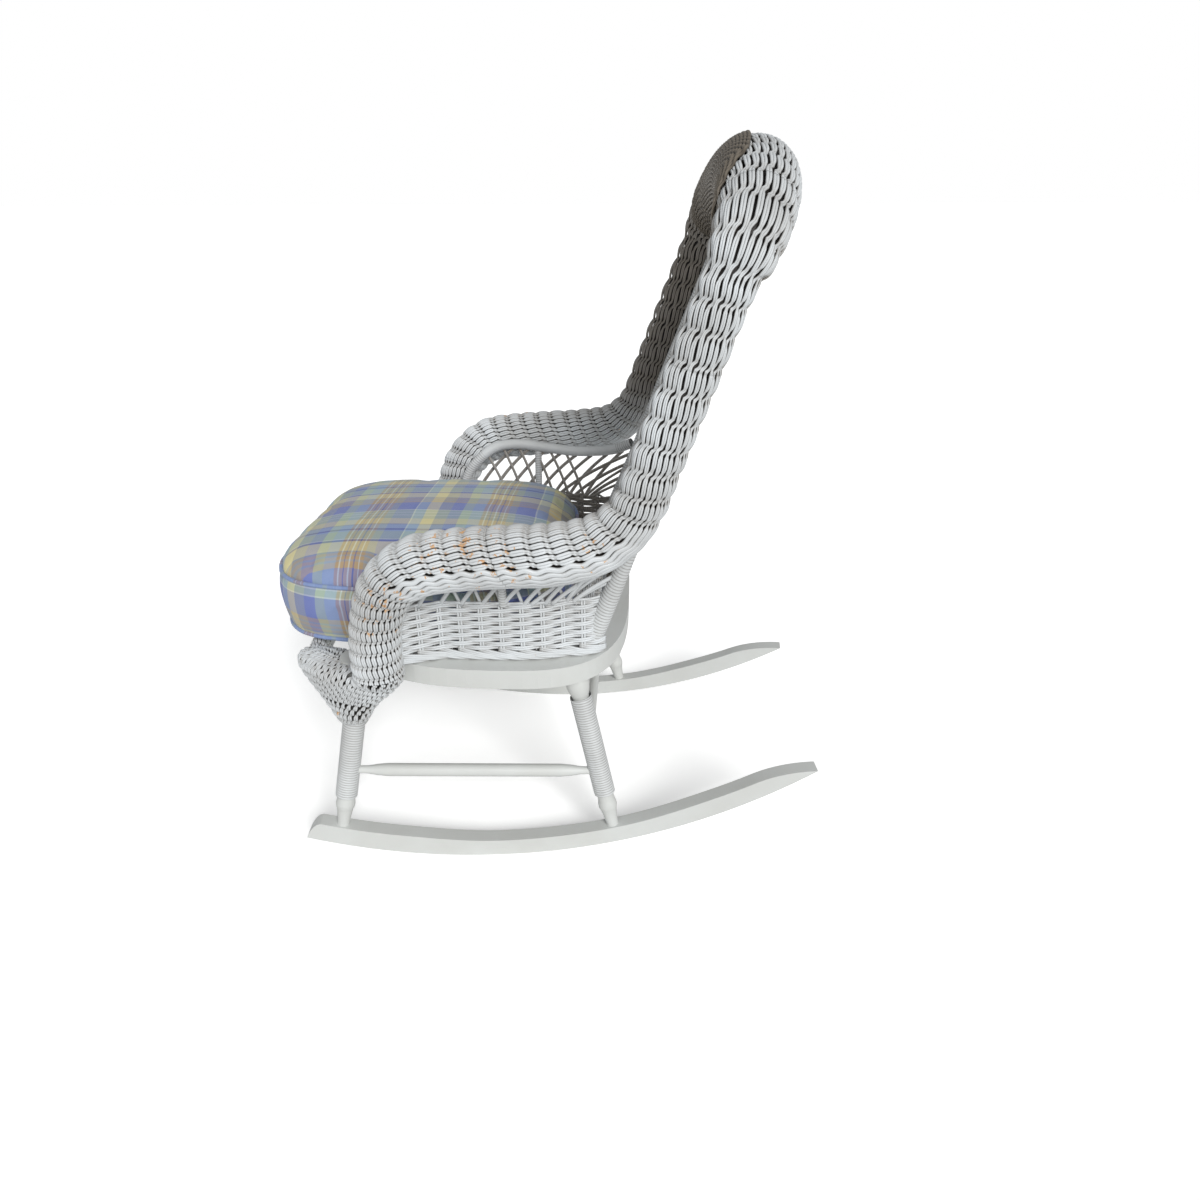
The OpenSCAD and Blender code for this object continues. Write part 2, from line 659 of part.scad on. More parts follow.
// Where the bow stands at a height below its bend
function bow_at(h) =
    let (last = len(bow_low) - 1,
         i = [for (k = [0 : last - 1]) if (bow_low[k + 1][2] >= h || k == last - 1) k][0])
    mix(bow_low[i], bow_low[i + 1], (h - bow_low[i][2]) / (bow_low[i + 1][2] - bow_low[i][2]));
rail_back_h = arm_h + arm_rise * 0.03;
rail_meet = bow_at(rail_back_h);
rail_back_run = rail_meet[1] - bow_r - arm_rail_r;
rail_points = [
    [arm_foot_x, -arm_foot_y, seat_h],
    [arm_foot_x, -arm_foot_y, seat_h + arm_rise * 0.35],
    [mix(arm_foot_x, arm_rail_x, 0.05), -arm_foot_y * 0.96, seat_h + arm_rise * 0.6],
    [mix(arm_foot_x, arm_rail_x, 0.2), -arm_foot_y * 0.8, arm_h - arm_rise * 0.22],
    [mix(arm_foot_x, arm_rail_x, 0.85), -arm_foot_y * 0.48, arm_h - arm_rise * 0.06],
    [arm_rail_x, -arm_foot_y * 0.1, arm_h - arm_rise * 0.02],
    [arm_rail_x, arm_foot_y * 0.4, arm_h - arm_rise * 0.06],
    [arm_rail_x - gap, arm_foot_y * 0.85, arm_h - arm_rise * 0.09],
    [mix(arm_rail_x, rail_meet[0], 0.3), mix(arm_foot_y, rail_back_run, 0.6), arm_h - arm_rise * 0.06],
    rail_meet - unit([rail_meet[0] - arm_rail_x, rail_meet[1] - arm_foot_y, 0])
        * (bow_r + arm_rail_r / 2 + gap * 5)];
rail_steps = 3;
rail_path = spline(rail_points, rail_steps);
rail_front_steps = 3;
// Height and place of the rail's middle at a distance behind the floor contact
function rail_at(y) =
    let (first = rail_front_steps * rail_steps,
         i = [for (k = [first : len(rail_path) - 2]) if (rail_path[k + 1][1] >= y) k][0])
    mix(rail_path[i], rail_path[i + 1], (y - rail_path[i][1]) / (rail_path[i + 1][1] - rail_path[i][1]));

module arm_rail(side) {
    color("gainsboro") stand() on_side(side) {
        skin_of(rings(rail_path, carried(rail_path, [1, 0, 0]), rail_sides, arm_rail_r, arm_rail_r));
        translate([arm_foot_x, -arm_foot_y, seat_h - post_tenon])
            cylinder(h = post_tenon + over, r = post_tenon_r, $fn = 32);
    }
}

// Side skirts follow the hoop between the arm rail's foot and the back bow
skirt_steps = 24;
function skirt_point(y, depth) =
    let (power = y < seat_mid_y ? hoop_front_power : hoop_rear_power,
         run = y < seat_mid_y ? skirt_front_len : seat_rear_len - skirt_inset_back,
         share = abs(y - seat_mid_y) / (run - depth))
    [(seat_half_w - skirt_inset_side - depth) * pow(1 - pow(share, power), 1 / power), y];
skirt_front_y = -arm_foot_y + arm_rail_r + gap;
skirt_back_y = bow_foot[1] - bow_r - skirt_t;
skirt_ys = [for (i = [0 : skirt_steps]) mix(skirt_front_y, skirt_back_y, i / skirt_steps)];
skirt_top_h = seat_h + skirt_h;

module skirt(side) {
    color("whitesmoke") stand() on_side(side) translate([0, 0, seat_h])
        linear_extrude(height = skirt_h)
            polygon(concat(
                [for (y = skirt_ys) skirt_point(y, 0)],
                [for (i = [skirt_steps : -1 : 0]) skirt_point(skirt_ys[i], skirt_t)]));
}

// Mid-arm post and the two bays of crossing reeds beside it
function skirt_mid(y) = let (p = skirt_point(y, skirt_t / 2)) [p[0], y, skirt_top_h];
arm_post_low = skirt_mid(arm_post_y) + [0, 0, gap];
arm_post_high = rail_at(arm_post_y) - [0, 0, arm_rail_r + gap];

module arm_post(side) {
    color("gainsboro") stand() on_side(side)
        rod(arm_post_low, arm_post_high, arm_post_r);
}

// The middle of a reed's top end, under the rail; a steep rail reaches lower
function under_rail(y) =
    let (slope = (rail_at(y + reed_r)[2] - rail_at(y - reed_r)[2]) / (reed_r * 2))
    rail_at(y) - [0, 0, (arm_rail_r + gap + reed_r / 2) * norm([1, slope])];
reed_end_lift = reed_r / 2 + gap / 2;
reed_out = arm_post_r + reed_r + gap;
stakes = [for (y = [skirt_front_y + reed_pitch / 2 : reed_pitch : skirt_back_y - reed_pitch / 4]) y];

module reed(start, end, out) {
    rod(skirt_mid(start) + [out, 0, reed_end_lift], under_rail(end) + [out, 0, 0], reed_r, 16);
}

module lattice(side) {
    color("whitesmoke") stand() on_side(side)
        for (y = stakes) {
            if (y + outer_lean < rail_back_run - reed_pitch) reed(y, y + outer_lean, reed_out);
            if (y - inner_lean > -arm_foot_y * 0.74) reed(y, y - inner_lean, -reed_out);
        }
}

// Pieces of the back, drawn flat and stood up on the bow's line
module stood_on_back(forward) {
    translate(on_back(0, 0, forward - bow_set_back)) rotate([90 - recline, 0, 0]) children();
}

// Half the clear width between the bow's sides at a length along the back
function bow_half(s) =
    let (h = on_back(0, s, -bow_set_back)[2], low_end = bow_low[len(bow_low) - 1])
    h < low_end[2] ? bow_at(h)[0] : bow_upper(h);
function bow_upper(h) =
    let (half = floor(len(bow_path) / 2),
         i = [for (k = [len(bow_low) : half - 1]) if (bow_path[k + 1][2] >= h || k == half - 1) k][0])
    mix(bow_path[i], bow_path[i + 1],
        (h - bow_path[i][2]) / (bow_path[i + 1][2] - bow_path[i][2]))[0];
function clear_half(s) = bow_half(s) - bow_r - gap;
// Half the length of a cross rail, whose square ends stand clear of the spreading bow
function rail_half(s, rise) =
    min(clear_half(s - rail_r * 2), clear_half(s + rail_r * 2)) - rail_r * 2 * rise / clear_half(s);
function arched(s, x) = s + rail_rise * (1 - pow(x / clear_half(s), 2));
arch_steps = 16;

module arched_rail(s) {
    half = rail_half(s, rail_rise);
    path = [for (i = [0 : arch_steps])
        let (x = mix(-half, half, i / arch_steps)) on_back(x, arched(s, x), -bow_set_back)];
    skin_of(rings(path, carried(path, [0, 0, 1]), rail_sides, rail_r, rail_r));
}

module bottom_rail() {
    half = rail_half(bottom_rail_len, 0);
    color("gainsboro") stand()
        rod(on_back(-half, bottom_rail_len, -bow_set_back), on_back(half, bottom_rail_len, -bow_set_back),
            rail_r);
}

module middle_rail() {
    color("gainsboro") stand() arched_rail(middle_rail_len);
}

module top_rail() {
    color("gainsboro") stand() arched_rail(top_rail_len);
}

spindle_count = floor((clear_half(top_rail_len) - spindle_pitch) / spindle_pitch);

module back_spindles() {
    color("whitesmoke") stand()
        for (k = [-spindle_count : spindle_count]) {
            x = k * spindle_pitch;
            rod(on_back(x, arched(middle_rail_len, x) + rail_r + gap * 2, -bow_set_back),
                on_back(x, arched(top_rail_len, x) - rail_r - gap * 2, -bow_set_back), spindle_r, 16);
        }
}

panel_steps = 20;
panel_low = bottom_rail_len + rail_r + gap;
panel_side_len = middle_rail_len - rail_r - gap * 2;
module back_panel() {
    color("whitesmoke") stand() stood_on_back(-panel_t / 2)
        linear_extrude(height = panel_t)
            polygon(concat(
                [for (i = [0 : panel_steps])
                    let (s = mix(panel_low, panel_side_len, i / panel_steps)) [clear_half(s) - ladder_w, s]],
                [for (i = [1 : panel_steps])
                    let (x = mix(1, -1, i / panel_steps) * (clear_half(middle_rail_len) - ladder_w))
                    [x, arched(panel_side_len, x)]],
                [for (i = [panel_steps : -1 : 0])
                    let (s = mix(panel_low, panel_side_len, i / panel_steps))
                    [ladder_w - clear_half(s), s]]));
}

head_in = bow_r + gap * 3;
module head_panel() {
    low = len(bow_low) + 1;
    edge = [for (k = [low : len(bow_path) - low - 1])
        let (inward = cross(back_forward, tangent(bow_path, k)),
             q = bow_path[k] + inward * head_in,
             s = (q[2] - on_back(0, 0, -bow_set_back)[2]) / cos(recline))
        if (s > top_rail_len + rail_r * 3) [q[0], s]];
    half = edge[0][0] - head_in;
    color("whitesmoke") stand() stood_on_back(-panel_t / 2)
        linear_extrude(height = panel_t)
            polygon(concat(edge,
                [for (i = [0 : panel_steps])
                    let (x = mix(-half, half, i / panel_steps))
                    [x, arched(top_rail_len, x) + rail_r + gap * 2]]));
}

module ladder(side) {
    color("whitesmoke") stand() on_side(side)
        for (s = [panel_low + rung_pitch : rung_pitch : middle_rail_len - rung_pitch])
            rod(on_back(clear_half(s) - ladder_w + gap, s, -bow_set_back),
                on_back(clear_half(s), s, -bow_set_back), rung_r, 16);
}

// Front sleeves, each a loft from the leg up to the arm roll's foot and the apron
sleeve_sides = 20;
sleeve_steps = 7;
sleeve_low = on_line(front_leg_line, sleeve_low_h);
sleeve_front = [apron_half_w, -apron_y - apron_half_t * 0.8];
sleeve_back = [arm_drop_x + arm_drop_r * 0.3, -arm_front_run + arm_drop_r * 0.95];
sleeve_half_len = norm(sleeve_back - sleeve_front) / 2;
sleeve_turn = atan2(sleeve_back[1] - sleeve_front[1], sleeve_back[0] - sleeve_front[0]);
sleeve_mid = (sleeve_front + sleeve_back) / 2;
sleeve_rings = [for (i = [0 : sleeve_steps])
    let (t = i / sleeve_steps, spread = ease(t * 0.9 + 0.08),
         a = mix(sleeve_low_r, sleeve_half_len, spread), b = mix(sleeve_low_r, sleeve_half_w, spread),
         middle = mix([sleeve_low[0], sleeve_low[1]], sleeve_mid, spread)
             - [cos(sleeve_turn), sin(sleeve_turn)] * (sleeve_belly * sin(180 * t)))
    [for (k = [0 : sleeve_sides - 1])
        let (f = 360 * k / sleeve_sides,
             p = [a * cos(f), b * sin(f)])
        [middle[0] + p[0] * cos(sleeve_turn) - p[1] * sin(sleeve_turn),
         middle[1] + p[0] * sin(sleeve_turn) + p[1] * cos(sleeve_turn),
         mix(sleeve_low_h, seat_h, t)]]];

module sleeve(side) {
    color("whitesmoke") stand() on_side(side) difference() {
        intersection() {
            skin_of(sleeve_rings);
            translate([apron_half_w, -apron_y - apron_bow * 4, sleeve_low_h - over])
                cube([apron_half_w, apron_y, seat_h]);
        }
        along(front_leg_line[0], front_leg_line[1])
            translate([0, 0, run_to(front_leg_line, sleeve_low_h) - over * 2])
                cylinder(h = hoop_low_h - sleeve_low_h + over * 3, r = bound_r + gap, $fn = 48);
        translate([0, 0, hoop_low_h - gap])
            linear_extrude(height = hoop_depth + over) polygon(hoop_outline(-gap));
        translate([front_top_x, -front_top_y, hoop_low_h - gap])
            cylinder(h = hoop_depth + over, r = corner_r + gap, $fn = 48);
    }
}

apron_steps = 16;
apron_mid_h = seat_h - apron_half_h;
apron_path = [for (i = [0 : apron_steps])
    let (x = mix(-apron_half_w, apron_half_w, i / apron_steps))
    [x, -apron_y + apron_bow * pow(x / apron_half_w, 2), apron_mid_h]];
apron_rings = [for (i = [0 : apron_steps])
    [for (k = [0 : roll_sides - 1])
        let (a = 360 * k / roll_sides)
        apron_path[i] + [0, apron_half_t * cos(a), apron_half_h * sin(a)]]];

module front_apron() {
    color("whitesmoke") stand() skin_of(apron_rings);
}

// Cushion: a drawn-in outline, a swelling border and a crown
cushion_low_h = seat_h + gap * 2;
cushion_sides = 48;
cushion_mid = (cushion_back - cushion_front) / 2;
cushion_half_len = (cushion_back + cushion_front) / 2;
// Height shares and inset shares of the rings, from the middle of the base to the crown
crown_shares = [0.97, 0.86, 0.66, 0.4, 0.12];
base_shares = [0.12, 0.6, 0.92];
border_steps = 6;
function cushion_ring(reach, swell, z) =
    [for (k = [0 : cushion_sides - 1])
        let (a = 360 * k / cushion_sides,
             drawn = cushion_draw * pow(sin(2 * a + 90), 2) + cushion_swell - swell)
        [(cushion_half_w - drawn) * reach * signed_pow(cos(a), 2 / cushion_power),
         cushion_mid + (cushion_half_len - drawn) * reach * signed_pow(sin(a), 2 / cushion_power),
         z]];
cushion_rings = concat(
    [for (share = base_shares) cushion_ring(share, 0, cushion_low_h)],
    [for (i = [0 : border_steps])
        let (t = i / border_steps)
        cushion_ring(1, cushion_swell * sin(180 * t), cushion_low_h + cushion_edge_h * t)],
    [for (share = crown_shares)
        cushion_ring(share, 0,
                     cushion_low_h + cushion_edge_h + cushion_crown * pow(1 - share * share, 0.7))]);

module cushion() {
    color("lightsteelblue") stand() skin_of(cushion_rings);
}

rocker(1);  // rocker_left
rocker(-1);  // rocker_right
leg(1, front_leg_line, false);  // front_leg_left
leg(-1, front_leg_line, false);  // front_leg_right
leg(1, rear_leg_line, true);  // rear_leg_left
leg(-1, rear_leg_line, true);  // rear_leg_right
winding(1, front_leg_line, side_front_h, front_bound_h);  // front_winding_left
winding(-1, front_leg_line, side_front_h, front_bound_h);  // front_winding_right
winding(1, rear_leg_line, side_rear_h, rear_bound_h);  // rear_winding_left
winding(-1, rear_leg_line, side_rear_h, rear_bound_h);  // rear_winding_right
side_stretcher(1);  // side_stretcher_left
side_stretcher(-1);  // side_stretcher_right
front_stretcher();
rear_stretcher();
seat_hoop();
seat_deck();
arm_rail(1);  // arm_rail_left
arm_rail(-1);  // arm_rail_right
arm_post(1);  // arm_post_left
arm_post(-1);  // arm_post_right
back_bow();
bottom_rail();
middle_rail();
top_rail();
back_spindles();
back_panel();
head_panel();
ladder(1);  // ladder_left
ladder(-1);  // ladder_right
arm_roll_left();
arm_roll_right();
back_roll();
sleeve(1);  // sleeve_left
sleeve(-1);  // sleeve_right
front_apron();
skirt(1);  // skirt_left
skirt(-1);  // skirt_right
lattice(1);  // lattice_left
lattice(-1);  // lattice_right
cushion();
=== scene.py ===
"""Painted wicker rocking chair with a loose plaid cushion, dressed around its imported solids.

Places are worked out in millimetres from the line where the rockers touch the floor, with
the same formulas as the solids, and turned into the frame's metres when a mesh is made.
"""

import math

import bpy
import numpy as np
from mathutils import Matrix, Vector
from mathutils.bvhtree import BVHTree


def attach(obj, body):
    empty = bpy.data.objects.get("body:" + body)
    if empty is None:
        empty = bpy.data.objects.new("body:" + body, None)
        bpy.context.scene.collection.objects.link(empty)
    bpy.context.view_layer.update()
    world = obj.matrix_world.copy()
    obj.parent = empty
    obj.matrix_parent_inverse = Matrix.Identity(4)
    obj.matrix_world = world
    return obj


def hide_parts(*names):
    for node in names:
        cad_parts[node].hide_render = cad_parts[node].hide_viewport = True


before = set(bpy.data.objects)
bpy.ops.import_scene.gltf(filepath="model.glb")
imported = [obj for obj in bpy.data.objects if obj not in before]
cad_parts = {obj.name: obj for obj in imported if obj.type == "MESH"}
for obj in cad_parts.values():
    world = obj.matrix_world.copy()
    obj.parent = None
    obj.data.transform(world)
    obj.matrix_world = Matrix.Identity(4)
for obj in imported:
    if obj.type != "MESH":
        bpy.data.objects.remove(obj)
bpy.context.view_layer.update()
scene = bpy.context.scene

MM = 0.001
# The frame's origin lies this far behind the line where the rockers touch the floor
MID_Y = 71.5

# Sizes shared with the solids, in millimetres and degrees
SEAT_H = 350.0
FRONT_LEG = ((266.5, -243.0, 64.4), (237.0, -195.0, 320.0))
REAR_LEG = ((227.4, 179.0, 45.1), (210.0, 120.0, 320.0))
ARM_H = 534.0
ARM_ROLL_R = 41.0
ARM_ROLL_X = 304.0
ARM_DROP_R = 36.5
ARM_DROP_X = 285.0
ARM_RAIL_R = 9.0
ARM_FOOT_X = 246.0
ARM_FOOT_Y = 118.0
RECLINE = math.radians(20.6)
BACK_FOOT_Y = 116.6
BACK_ROLL_R = 35.0
SHOULDER_HALF_W = 272.0
SHOULDER_LEN = 551.0
CREST_RISE = 122.0
CREST_R = 52.0
CREST_SET_BACK = 8.0
CREST_POWER = 2.2
BOW_R = 9.0
BOW_SET_BACK = 22.0
BOW_FOOT_X = 200.0
RAIL_R = 7.0
BOTTOM_RAIL_LEN = 84.0
MIDDLE_RAIL_LEN = 470.0
TOP_RAIL_LEN = 540.0
RAIL_RISE = 34.0
SEAT_HALF_W = 273.0
SEAT_MID_Y = 10.0
SEAT_REAR_LEN = 190.0
SKIRT_H = 92.0
SKIRT_INSET_SIDE = 28.0
SKIRT_INSET_BACK = 14.0
SKIRT_FRONT_LEN = 380.0
SLEEVE_LOW_H = 252.0
SLEEVE_LOW_R = 27.0
APRON_HALF_W = 205.0
APRON_HALF_T = 14.0
APRON_HALF_H = 22.0
APRON_Y = 282.0
APRON_BOW = 14.0
CUSHION_LOW_H = 350.6
GAP = 0.3

arm_rise = ARM_H - SEAT_H
arm_front_run = ARM_FOOT_Y + ARM_DROP_R * 0.85


def unit(v):
    return v / np.linalg.norm(v, axis=-1, keepdims=True)


def mix(a, b, t):
    return a + (b - a) * t


def ease(t):
    t = np.clip(t, 0, 1)
    return t * t * (3 - 2 * t)


def signed_pow(v, e):
    return math.copysign(abs(v) ** e, v)


def around(count):
    """This many angles, evenly round a full turn."""
    return np.arange(count) * (2 * math.pi / count)


def between(a, b, c, d, t):
    """The place from b to c, by t, on a smooth curve through all four."""
    return (2 * b + (c - a) * t + (2 * a - 5 * b + 4 * c - d) * t * t + (3 * b - a - 3 * c + d) * t ** 3) / 2


def spline(points, parts):
    """A smooth curve through the points, with this many parts between two of them."""
    points = np.asarray(points, float)
    last = len(points) - 1
    out = [between(*points[[max(i - 1, 0), i, i + 1, min(i + 2, last)]], k / parts)
           for i in range(last) for k in range(parts)]
    return np.array(out + [points[last]])


def runs_along(path):
    """The distance along the path to each of its points."""
    return np.concatenate([[0], np.cumsum(np.linalg.norm(np.diff(path[:, :3], axis=0), axis=1))])


def read_off(at, marks, path):
    """Places between the path's points, where marks gives the reading at each of its points."""
    return np.stack([np.interp(at, marks, column) for column in path.T], axis=-1)


def spread(path, step):
    """The path with its points a step apart, more or less, and the run to each of them."""
    runs = runs_along(path)
    want = np.linspace(0, runs[-1], max(2, int(round(runs[-1] / step)) + 1))
    return read_off(want, runs, path), want


def tangents(path):
    return unit(np.gradient(path[:, :3], axis=0))


def carried(path, first):
    """The across direction at each point, carried along the path without twist."""
    t = tangents(path)
    u = np.asarray(first, float)
    out = []
    for k in range(len(path)):
        u = u - t[k] * (u @ t[k])
        u = u / np.linalg.norm(u)
        out.append(u)
    return np.array(out)


def on_back(x, s, forward=0.0):
    """A place on the back: across the chair, along the back, and in front of its line."""
    return np.array([x, BACK_FOOT_Y + s * math.sin(RECLINE) - forward * math.cos(RECLINE),
                     SEAT_H + s * math.cos(RECLINE) + forward * math.sin(RECLINE)])


BACK_FORWARD = np.array([0, -math.cos(RECLINE), math.sin(RECLINE)])
UPWARDS = np.array([0, 0, 1])

# The route of the woven roll: x, y, z and radius, from a front corner along arm, back and crest
bend_len = (arm_rise + ARM_ROLL_R * 1.4) / math.cos(RECLINE)


def to_shoulder(share):
    return mix(ARM_ROLL_X, SHOULDER_HALF_W, share)


# Along the arm: x, share of the run to the front, share of the arm's rise, radius
arm_route = [
    (ARM_DROP_X, -1, 0.2, ARM_DROP_R), (ARM_DROP_X + GAP, -0.955, 0.46, ARM_DROP_R),
    (mix(ARM_DROP_X, ARM_ROLL_X, 0.5), -0.8, 0.75, mix(ARM_DROP_R, ARM_ROLL_R, 0.5)),
    (ARM_ROLL_X, -0.51, 0.94, ARM_ROLL_R), (ARM_ROLL_X, -0.14, 1, ARM_ROLL_R),
    (ARM_ROLL_X, 0.34, 1.03, ARM_ROLL_R), (ARM_ROLL_X, 0.71, 1.05, ARM_ROLL_R),
    (to_shoulder(0.15), 1.1, 1.13, mix(ARM_ROLL_R, BACK_ROLL_R, 0.4)),
    (to_shoulder(0.3), 1.39, 1.34, mix(ARM_ROLL_R, BACK_ROLL_R, 0.8))]
roll_side = [(ARM_DROP_X, -arm_front_run, SEAT_H + GAP * 4, ARM_DROP_R)]
roll_side += [(x, arm_front_run * run, SEAT_H + arm_rise * rise, r) for x, run, rise, r in arm_route]
roll_side += [(*on_back(to_shoulder(out), mix(bend_len, SHOULDER_LEN, up)), BACK_ROLL_R)
              for out, up in ((0.45, 0.25), (0.75, 0.62))]
CREST_STEPS = 12
crest = []
for i in range(CREST_STEPS + 1):
    a = math.pi * i / CREST_STEPS
    share = max(math.sin(a), 0) ** (2 / CREST_POWER)
    crest.append((*on_back(SHOULDER_HALF_W * signed_pow(math.cos(a), 2 / CREST_POWER),
                           SHOULDER_LEN + CREST_RISE * share, -CREST_SET_BACK * share),
                  mix(BACK_ROLL_R, CREST_R, share ** 0.7)))
SIDE_COUNT = len(roll_side)
ARM_PLACES = 9
# Ribs in each part of the roll's route, from a front foot to the crest's middle
RIB_SHARES = [2, 2.5, 2.5, 2.25, 2.25, 2.75, 2, 2.25, 2, 2.25, 3.25, 3.25, 1, 1, 1.25, 1.5, 1.75, 2.25]
ribs_before = np.concatenate([[0], np.cumsum(RIB_SHARES + RIB_SHARES[::-1])])
RIB_TOTAL = ribs_before[-1]
HALF_PLACES = len(RIB_SHARES)
# The ribs along the arm lean: their lower side lies further back, by this share of a rib
LEAN_PLACES = (0, 3, 8, 10, 18)
LEAN_SHARES = (0, 0.48, 0.48, 0.15, 0)
roll_points = np.array(roll_side + crest + [(-p[0], p[1], p[2], p[3]) for p in reversed(roll_side)])


def place_along(ribs):
    return np.interp(ribs, ribs_before, np.arange(len(ribs_before)))


def roll_at(ribs):
    """Places and radii of the roll at counts of ribs along it."""
    along = place_along(np.asarray(ribs, float))
    last = len(roll_points) - 1
    i = np.minimum(along.astype(int), last - 1)
    t = (along - i)[..., None]
    return between(*(roll_points[np.clip(i + k, 0, last)] for k in (-1, 0, 1, 2)), t)


def lean(ribs):
    along = place_along(ribs)
    return np.where(along < HALF_PLACES, np.interp(along, LEAN_PLACES, LEAN_SHARES),
                    -np.interp(HALF_PLACES * 2 - along, LEAN_PLACES, LEAN_SHARES))


roll_coarse = roll_at(np.arange(int(RIB_TOTAL * 2) + 1) / 2)
roll_coarse_across = carried(roll_coarse, (1, 0, 0))


def roll_surface(ribs, turns, inset):
    """Rings of points round the roll, this far inside it, that lean as the ribs do."""
    at = np.clip(ribs[:, None] + lean(ribs)[:, None] * np.sin(turns), 0, RIB_TOTAL)
    p = roll_at(at)
    ahead = unit((roll_at(np.minimum(at + 0.25, RIB_TOTAL)) - roll_at(np.maximum(at - 0.25, 0)))[..., :3])
    u = read_off(at * 2, np.arange(len(roll_coarse)), roll_coarse_across)
    u = unit(u - ahead * (u * ahead).sum(axis=-1, keepdims=True))
    v = np.cross(ahead, u)
    size = p[..., 3:] - (inset[:, None, None] if np.ndim(inset) else inset)
    return p[..., :3] + size * (np.cos(turns)[:, None] * u + np.sin(turns)[:, None] * v)


def placed(name, data):
    """A new object of the scene with this mesh, camera or lamp."""
    thing = bpy.data.objects.new(name, data)
    scene.collection.objects.link(thing)
    return thing


class Bundle:
    """Rods and skins gathered into one mesh, with each point's depth in the weave, which sets its painted
    shade, and its wear.

    Rods are laid out for the left side of the chair; with side -1 they are mirrored to the right.
    """

    def __init__(self, side=1):
        self.verts, self.quads, self.depth, self.count = [], [], [], 0
        self.mirror = np.array([side, 1, 1])

    def add(self, verts, quads, depth):
        verts = verts.reshape(-1, 3)
        self.verts.append(verts)
        self.quads.append(quads.reshape(-1, 4) + self.count)
        self.depth.append(np.broadcast_to(np.asarray(depth, float).ravel(), (len(verts),)))
        self.count += len(verts)

    def rod(self, line, normal, radius, depth=1.0, squeeze=1.0):
        """One rod, with one normal for the whole of it or one for every point."""
        self.rods(line[None], np.broadcast_to(normal, line[None].shape), radius, depth, squeeze)

    def rods(self, lines, normals, radius, depth=1.0, squeeze=1.0):
        """Closed round rods along many lines at once, each line with a normal at every point."""
        lines, normals = lines * self.mirror, normals * self.mirror
        count, samples = lines.shape[:2]
        tangent = unit(np.gradient(lines, axis=1))
        side = unit(np.cross(tangent, normals))
        up = np.cross(side, tangent)
        turn = around(ROD_SIDES)
        r = np.broadcast_to(np.asarray(radius, float), (count, samples))[..., None, None]
        ring = lines[:, :, None] + r * (np.cos(turn)[:, None] * up[:, :, None]
                                        + np.sin(turn)[:, None] * squeeze * side[:, :, None])
        first = (np.arange(count)[:, None] * samples + np.arange(samples - 1))[..., None] * ROD_SIDES
        k = np.arange(ROD_SIDES)
        a, b = first + k, first + (k + 1) % ROD_SIDES
        body = np.stack([a, b, b + ROD_SIDES, a + ROD_SIDES], axis=-1).reshape(-1, 4)
        start = np.arange(count)[:, None] * samples * ROD_SIDES
        end = start + (samples - 1) * ROD_SIDES
        fans = [np.array([0, k, k + 1, k + 2]) for k in range(1, ROD_SIDES - 2, 2)]
        caps = np.concatenate([start + fan[::-1] for fan in fans] + [end + fan for fan in fans])
        # Painted shade, with some dirt, darkens the sides of a rod, where it meets its neighbours
        d = np.broadcast_to(np.asarray(depth, float), (count, samples))[..., None]
        d = d * (0.55 + 0.45 * np.cos(turn))
        self.add(ring, np.concatenate([body, caps]), d)

    def skin(self, grid, depth=0.0):
        """A skin over a grid of closed rings."""
        rings, n = grid.shape[:2]
        k = np.arange(n)
        first = np.arange(rings - 1)[:, None] * n
        a, b = first + k, first + (k + 1) % n
        self.add(grid, np.stack([a, b, b + n, a + n], axis=-1), depth)

    def make(self, name, material, *nodes, slot="painted_reed", body="chair"):
        """The mesh as a piece that rides a body and replaces these nodes of the frame."""
        verts, quads = np.concatenate(self.verts), np.concatenate(self.quads)
        mesh = bpy.data.meshes.new(name)
        mesh.vertices.add(len(verts))
        mesh.vertices.foreach_set("co", ((verts - [0, MID_Y, 0]) * MM).ravel())
        mesh.loops.add(quads.size)
        mesh.loops.foreach_set("vertex_index", quads.ravel().astype(np.int32))
        mesh.polygons.add(len(quads))
        mesh.polygons.foreach_set("loop_start", np.arange(0, quads.size, 4, dtype=np.int32))
        mesh.polygons.foreach_set("use_smooth", np.ones(len(quads), bool))
        mesh.update(calc_edges=True)
        for key, values in (("depth", np.concatenate(self.depth)), ("wear", wear_at(verts))):
            mesh.attributes.new(key, "FLOAT", "POINT").data.foreach_set("value", values)
        mesh.materials.append(material)
        piece = placed(name, mesh)
        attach(piece, body)
        if nodes:
            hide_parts(*nodes)
        return piece


ROD_SIDES = 8
# Rubbed places of the paint, the same on both sides: middle of each and its reach
WORN = (((338, 40, 545), 60), ((330, -40, 560), 45), ((318, -105, 500), 50), ((300, -150, 440), 45),
        ((320, 160, 560), 35), ((262, -215, 275), 30), ((300, 215, 760), 25), ((296, 250, 850), 25))


def wear_at(verts):
    """How rubbed the paint is at each point, from 0 to 1."""
    x = np.abs(verts[:, 0])
    wear = np.zeros(len(verts))
    for (cx, cy, cz), reach in WORN:
        d2 = (x - cx) ** 2 + (verts[:, 1] - cy) ** 2 + (verts[:, 2] - cz) ** 2
        wear += np.exp(-d2 / reach ** 2)
    return np.minimum(wear, 1)


# ---- materials ----
def colour(code):
    """Turns an sRGB hex value into the linear colour that a shader takes."""
    parts = [int(code[i:i + 2], 16) / 255 for i in (1, 3, 5)]
    return (*[c / 12.92 if c <= 0.04045 else ((c + 0.055) / 1.055) ** 2.4 for c in parts], 1)


